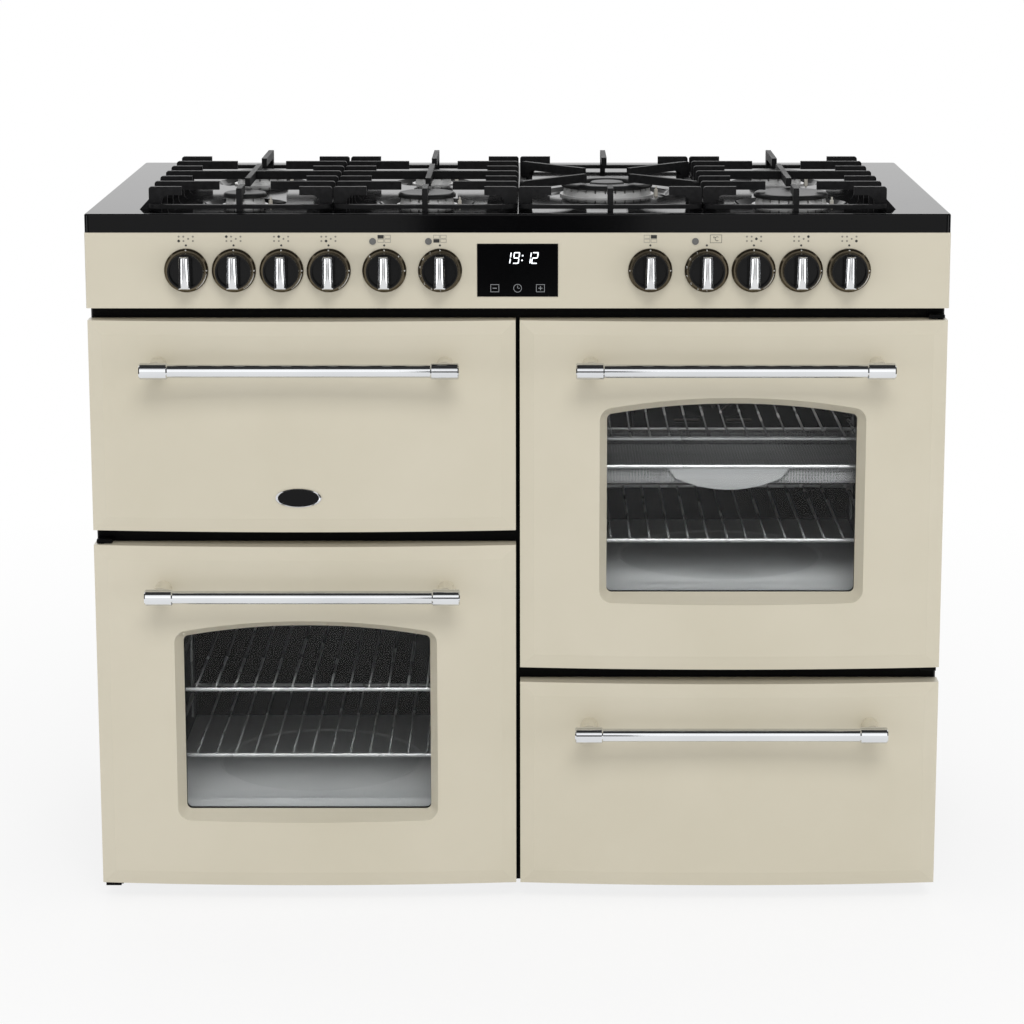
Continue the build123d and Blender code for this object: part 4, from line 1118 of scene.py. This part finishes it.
@dataclass
class Doors(Assembly):
    """Grill door, two oven doors and the drawer, with a bare plate on the grill door."""

    plate_x: float = -282.0
    plate_z: float = 549.0
    plate_width: float = 59.0
    plate_height: float = 24.5
    plate_thick: float = 2.2
    plate_steps: int = 48
    plate_rings: tuple[Flat, ...] = (
        (1.0, 0.0), (1.0, 0.7), (0.93, 1.0), (0.9, 0.75), (0.86, 0.75), (0.0, 0.8)
    )
    plate_finishes: tuple[int, ...] = (0, 0, 0, 1, 1)
    ray_start: float = -200.0

    def dress(self) -> None:
        """Gives the doors' CAD nodes their finishes."""
        for door in ("grill_door", "left_door", "right_door"):
            self.palette.dress(CREAM, f"{door}_panel")
            self.palette.dress(OVEN_ENAMEL, f"{door}_liner")
            self.palette.dress(CHROME, f"{door}_handle")
        self.palette.dress(GLASS, "left_door_glass", "right_door_glass")
        self.palette.dress(CREAM, "drawer_front")
        self.palette.dress(CHROME, "drawer_handle")
        self.palette.dress(SATIN_BLACK, "drawer_box")
        self.palette.dress(ZINC, "drawer_runners")

    def build(self) -> None:
        """Adds the bare oval plate, as rings given by their share of its size and of its thickness."""
        piece = Piece("grill_door_plate")
        rings = []
        for share, rise in self.plate_rings:
            ring = []
            for i in range(self.plate_steps if share > 0 else 1):
                u, v = on_circle(share / 2, 360 * i / self.plate_steps)
                x, z = self.plate_x + u * self.plate_width, self.plate_z + v * self.plate_height
                lift = REARWARD * rise * self.plate_thick * MM
                ring.append(piece.mesh.verts.new(self.on_panel(x, z) - lift))
            rings.append(ring)
        piece.skin(rings, self.plate_finishes)
        piece.mesh.faces.new(list(reversed(rings[0])))
        piece.finish(self.palette, (PLATE_RIM, PLATE_BLACK), "grill_door", "chrome")

    def on_panel(self, x: float, z: float) -> Vector:
        """Returns the point of the bowed grill door at a place across and up, in millimetres."""
        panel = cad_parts["grill_door_panel"]
        return panel.ray_cast(spot(x, self.ray_start, z), REARWARD)[1]


@dataclass(frozen=True)
class OvenLamp:
    """A strip lamp inside an oven, placed in millimetres from the chamber's roof and the front plane."""

    oven: str
    side: int
    drop: float
    depth: float
    reach: float
    spread: float
    power: float


@dataclass
class Ovens(Assembly):
    """Oven and grill chambers with their shelves, basket, elements and fan."""

    oven_x: float = 275.95
    dish_radius: float = 136.5
    upward: float = 0.5
    rim_wire: float = 5.0
    tab_depth: float = 4.0
    mesh_pitch: float = 4.0
    mesh_wire: float = 0.7
    net_inset: float = 7.0
    net_front: float = 4.6
    net_floor: float = 24.1
    lamp_size: Flat = (0.32, 0.02)
    lamps: tuple[OvenLamp, ...] = (
        OvenLamp("left_oven_chamber", -1, 20.0, 52.0, 60.0, 52.0, 0.1),
        OvenLamp("right_oven_chamber", 1, 135.0, 52.0, 75.0, 64.0, 0.08),
        OvenLamp("right_oven_chamber", 1, 20.0, 230.0, 20.0, 150.0, 0.15),
    )

    def dress(self) -> None:
        """Gives the CAD nodes inside the ovens their finishes."""
        self.palette.dress(OVEN_ENAMEL, "grill_chamber", "left_oven_chamber", "right_oven_chamber")
        self.palette.dress(OVEN_ENAMEL, "grill_pan", "fan_cover")
        self.palette.dress(WIRE_CHROME, "wire_shelves", "side_racks")
        self.palette.split("crisping_basket", (NET_STEEL, TAB_STEEL, WIRE_CHROME), self.basket_part)
        # The dish faces take the darker steel, painted shade for the recess.
        self.palette.split("oven_base_plates", (PLATE_STEEL, DISH_PAINTED_SHADE), self.plate_part)
        self.palette.dress(ELEMENT, "heating_elements", "oven_fan")
        self.palette.dress(ZINC, "fan_motor")
        self.palette.dress(SEAL, "door_seals")

    def plate_part(self, place: Vector, normal: Vector) -> int:
        """Picks the plate or its round dish by how far a face is from the dish's middle.

        Args:
            place: Centre of the face.
            normal: Its normal.

        Returns:
            Number of the finish.
        """
        low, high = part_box("oven_base_plates")
        middle = ((low.y + high.y) / 2 - FRONT_Y) / MM
        radius = math.hypot(abs(place.x) - self.oven_x, place.y - middle)
        # The dish faces get the darker steel, which paints shade into the recessed dish.
        return 1 if normal.z > self.upward and radius < self.dish_radius else 0

    def basket_part(self, place: Vector, normal: Vector) -> int:
        """Picks net, smooth tab or rim wire by where a face of the basket stands.

        Args:
            place: Centre of the face.
            normal: Its normal, which plays no part here.

        Returns:
            Number of the finish.
        """
        low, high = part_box("crisping_basket")
        if place.z > high.z / MM - self.rim_wire:
            return 2
        return 1 if place.y < (low.y - FRONT_Y) / MM + self.tab_depth else 0

    def build(self) -> None:
        """Adds the net of the crisping basket and the lamps of the ovens."""
        self.weave_net()
        for number, lamp in enumerate(self.lamps, 1):
            floor, roof = (corner.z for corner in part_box(lamp.oven))
            place = (lamp.side * self.oven_x * MM, FRONT_Y + lamp.depth * MM, roof - lamp.drop * MM)
            target = (place[0], place[1] + lamp.reach * MM, floor)
            Softbox(f"oven_lamp_{number}", place, target, *self.lamp_size, lamp.power, lamp.spread).build()

    def weave_net(self) -> None:
        """Adds the fine wire net over the basket's floor, front and back."""
        low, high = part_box("crisping_basket")
        piece = Piece("basket_mesh")
        inset, step = self.net_inset * MM, self.mesh_pitch * MM
        x0, x1 = low.x + inset, high.x - inset
        y0, y1 = low.y + self.net_front * MM, high.y - inset
        floor, rim = high.z - self.net_floor * MM, high.z - self.rim_wire * MM
        for i in range(int((x1 - x0) / step) + 1):
            x = x0 + i * step
            piece.wire(Vector((x, y0, floor)), Vector((x, y1, floor)), self.mesh_wire)
            for y in (y0, y1):
                piece.wire(Vector((x, y, floor)), Vector((x, y, rim)), self.mesh_wire)
        for i in range(int((y1 - y0) / step) + 1):
            y = y0 + i * step
            piece.wire(Vector((x0, y, floor)), Vector((x1, y, floor)), self.mesh_wire)
        for i in range(int((rim - floor) / step) + 1):
            z = floor + i * step
            for y in (y0, y1):
                piece.wire(Vector((x0, y, z)), Vector((x1, y, z)), self.mesh_wire)
        piece.finish(self.palette, (MESH_STEEL,), "cabinet", "chrome")


@dataclass
class Carcass(Assembly):
    """Side panels, back, base, front frame, feet and hinges, with their screws."""

    screw_head: float = 8.0
    screw_rise: float = 2.2
    screw_steps: int = 16
    head_outline: tuple[Flat, ...] = ((1.0, 0.0), (1.0, 0.4), (0.8, 0.8), (0.45, 1.0))
    recess_reach: float = 0.42
    recess_half: float = 0.35
    recess_lift: float = 0.03
    recess_depth: float = 0.3
    screw_rows: tuple[float, ...] = (40.0, 245.0, 520.0, 780.0, 872.0)
    back_columns: tuple[float, ...] = (-530.0, -180.0, 180.0, 530.0)
    side_depths: Flat = (60.0, 560.0)
    seed: int = 7

    def dress(self) -> None:
        """Gives the carcass's CAD nodes their finishes."""
        self.palette.dress(SIDE_PAINT, "side_panels")
        self.palette.dress(FRAME_BLACK, "front_frame", "hinge_brackets")
        self.palette.dress(ZINC, "back_panel", "base_tray")
        self.palette.dress(FOOT_PLASTIC, "levelling_feet")

    def build(self) -> None:
        """Adds the screws of the back panel and of the side panels."""
        dice = random.Random(self.seed)
        piece = Piece("back_screws")
        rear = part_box("back_panel")[1].y
        for z in self.screw_rows:
            for x in self.back_columns:
                self.screw(piece, Vector((x * MM, rear, z * MM)), REARWARD, dice.uniform(0, math.pi))
        piece.finish(self.palette, (SCREW_STEEL, SATIN_BLACK), "cabinet", "zinc_steel")
        piece = Piece("side_screws")
        for side in (-1, 1):
            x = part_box("side_panels")[1].x * side
            for z in self.screw_rows:
                for depth in self.side_depths:
                    at = Vector((x, FRONT_Y + depth * MM, z * MM))
                    self.screw(piece, at, Vector((side, 0, 0)), dice.uniform(0, math.pi))
        piece.finish(self.palette, (SCREW_STEEL, SATIN_BLACK), "cabinet", "zinc_steel")

    def screw(self, piece: Piece, at: Vector, axis: Vector, turn: float) -> None:
        """Adds a pan-head screw with a cross recess.

        Args:
            piece: Mesh that takes the screw.
            at: Foot of the head on the panel.
            axis: Way that the head faces.
            turn: Angle of its cross.
        """
        radius, rise = self.screw_head / 2, self.screw_rise
        piece.turned(at, axis, [(radius * r, rise * z) for r, z in self.head_outline], self.screw_steps)
        face = axis.to_track_quat("Z", "Y").to_matrix().to_4x4()
        u, v, lift = radius * self.recess_reach, self.recess_half, rise + self.recess_lift
        for angle in (turn, turn + math.pi / 2):
            spin = face @ Matrix.Rotation(angle, 4, "Z")
            corners = [Vector(c) * MM for c in ((-u, -v, lift), (u, -v, lift), (u, v, lift), (-u, v, lift))]
            piece.prism([at + spin @ corner for corner in corners], -axis * self.recess_depth * MM, 1)


# The studio


@dataclass
class Studio:
    """White studio: floor, dark cards, soft lamps, surroundings and camera, in metres."""

    floor_radius: float = 14.0
    floor_sides: int = 64
    floor_grey: float = 0.9
    floor_fade: Flat = (0.6, 2.2)
    near_glow: float = 0.8
    card_grey: float = 0.05
    matt: float = 0.9
    ambient: float = 0.5
    cards: tuple[tuple[Point, Point], ...] = (
        ((-3.0, -2.6, 3.0), (3.0, 0.4, 3.0)),
        ((-0.3, -4.6, 0.1), (0.3, -4.6, 2.0)),
        ((-2.2, -3.0, 0.1), (-1.2, -3.0, 2.2)),
        ((1.2, -3.0, 0.1), (2.2, -3.0, 2.2)),
        ((-2.2, -1.0, 0.1), (-2.2, 0.6, 2.0)),
        ((2.2, -1.0, 0.1), (2.2, 0.6, 2.0)),
    )
    softboxes: tuple[Softbox, ...] = (
        Softbox("key_softbox", (0.2, -3.5, 1.6), (0.0, -0.2, 0.35), 3.6, 1.4, 6.0),
        Softbox("top_softbox", (0.8, -7.5, 8.0), (0.0, -0.3, 0.4), 5.0, 3.5, 375.0, in_chrome=False),
        Softbox("left_softbox", (-3.2, -2.0, 0.65), (0.0, -0.2, 0.25), 1.6, 1.2, 13.5),
        Softbox("right_softbox", (3.2, -2.0, 0.65), (0.0, -0.2, 0.25), 1.6, 1.2, 13.5),
        Softbox("rear_softbox", (0.0, 3.0, 2.8), (0.0, 0.2, 0.5), 3.0, 1.6, 30.0),
    )
    sensor: float = 36.0
    lens: float = 103.32
    shift_x: float = -0.0242
    shift_y: float = -0.12
    eye: Point = (0.0244, -3.9708, 1.3839)
    pitch: float = 0.1856

    def build(self) -> None:
        """Sets up everything round the cooker."""
        self.make_floor()
        self.make_cards()
        self.make_world()
        for softbox in self.softboxes:
            softbox.build()
        self.make_camera()

    def seen(self, tree: Tree) -> Socket:
        """Returns a mask of the rays that show the surroundings: camera, glossy and transmission."""
        rays = tree.node("ShaderNodeLightPath").outputs
        direct = tree.math("MAXIMUM", rays["Is Camera Ray"], rays["Is Glossy Ray"])
        return tree.math("MAXIMUM", direct, rays["Is Transmission Ray"])

    def matt_grey(self, name: str, grey: float) -> tuple[bpy.types.Material, Tree, Node]:
        """Starts a plain matt material.

        Args:
            name: Its name.
            grey: Its level.

        Returns:
            The material, its tree and its shader.
        """
        material, tree, shader = new_material(name)
        colour = (grey, grey, grey, 1.0)
        tree.feed(shader, {"Base Color": colour, "Roughness": self.matt, "Specular IOR Level": 0.0})
        return material, tree, shader

    def stage(self, name: str, mesh: bmesh.types.BMesh, material: bpy.types.Material) -> bpy.types.Object:
        """Puts a mesh in the studio.

        Args:
            name: Name of the object.
            mesh: Its shape.
            material: Its material.

        Returns:
            The object.
        """
        data = bpy.data.meshes.new(name)
        mesh.to_mesh(data)
        mesh.free()
        data.materials.append(material)
        made = bpy.data.objects.new(name, data)
        bpy.context.scene.collection.objects.link(made)
        return made

    def make_floor(self) -> None:
        """Lays a pale floor that is seen as white further out and keeps the cooker's shadow."""
        material, tree, shader = self.matt_grey("studio_floor", self.floor_grey)
        glow = tree.node("ShaderNodeEmission", {"Strength": 1.0})
        place = tree.node("ShaderNodeVectorMath", {0: tree.object_coords()}, operation="LENGTH")
        share = tree.spread(place.outputs["Value"], *self.floor_fade, to_low=self.near_glow)
        mask = tree.math("MULTIPLY", self.seen(tree), share)
        tree.feed(material.node_tree.nodes["Material Output"], {0: tree.choose(mask, shader, glow)})
        mesh = bmesh.new()
        bmesh.ops.create_circle(mesh, cap_ends=True, radius=self.floor_radius, segments=self.floor_sides)
        self.stage("floor", mesh, material)

    def make_cards(self) -> None:
        """Hangs dark cards, one overhead and the others upright, seen only in reflections."""
        mesh = bmesh.new()
        for (x0, y0, z0), (x1, y1, z1) in self.cards:
            if z0 == z1:
                corners = ((x0, y0, z0), (x1, y0, z0), (x1, y1, z0), (x0, y1, z0))
            else:
                corners = ((x0, y0, z0), (x1, y1, z0), (x1, y1, z1), (x0, y0, z1))
            mesh.faces.new([mesh.verts.new(corner) for corner in corners])
        card = self.stage("dark_card", mesh, self.matt_grey("dark_card", self.card_grey)[0])
        card.visible_camera = False
        card.visible_diffuse = False
        card.visible_shadow = False
        card.visible_transmission = False

    def make_world(self) -> None:
        """Sets white surroundings where they are seen, and a softer level for the light they give."""
        world = bpy.data.worlds.new("studio")
        bpy.context.scene.world = world
        world.use_nodes = True
        tree, nodes = Tree(world.node_tree), world.node_tree.nodes
        colour = (1.0, 1.0, 1.0, 1.0)
        light = nodes["Background"]
        tree.feed(light, {"Color": colour, "Strength": self.ambient})
        white = tree.node("ShaderNodeBackground", {"Color": colour, "Strength": 1.0})
        tree.feed(nodes["World Output"], {0: tree.choose(self.seen(tree), light, white)})

    def make_camera(self) -> None:
        """Sets the camera in front, a little above the hob, pitched down."""
        data = bpy.data.cameras.new("camera")
        data.sensor_width, data.lens = self.sensor, self.lens
        data.shift_x, data.shift_y = self.shift_x, self.shift_y
        camera = bpy.data.objects.new("camera", data)
        camera.location = self.eye
        camera.rotation_euler = (math.pi / 2 - self.pitch, 0.0, 0.0)
        bpy.context.scene.collection.objects.link(camera)
        bpy.context.scene.camera = camera
        bpy.context.scene.view_settings.view_transform = "Standard"


def main() -> None:
    """Dresses the cooker, adds the pieces that the solids leave out, and sets up the studio."""
    logging.basicConfig(level=logging.INFO, format="%(name)s: %(message)s")
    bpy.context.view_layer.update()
    palette = Palette()
    for kind in (Carcass, Ovens, Doors, Hob, ControlPanel):
        assembly = kind(palette)
        assembly.dress()
        assembly.build()
    Studio().build()


if __name__ == "__main__":
    main()
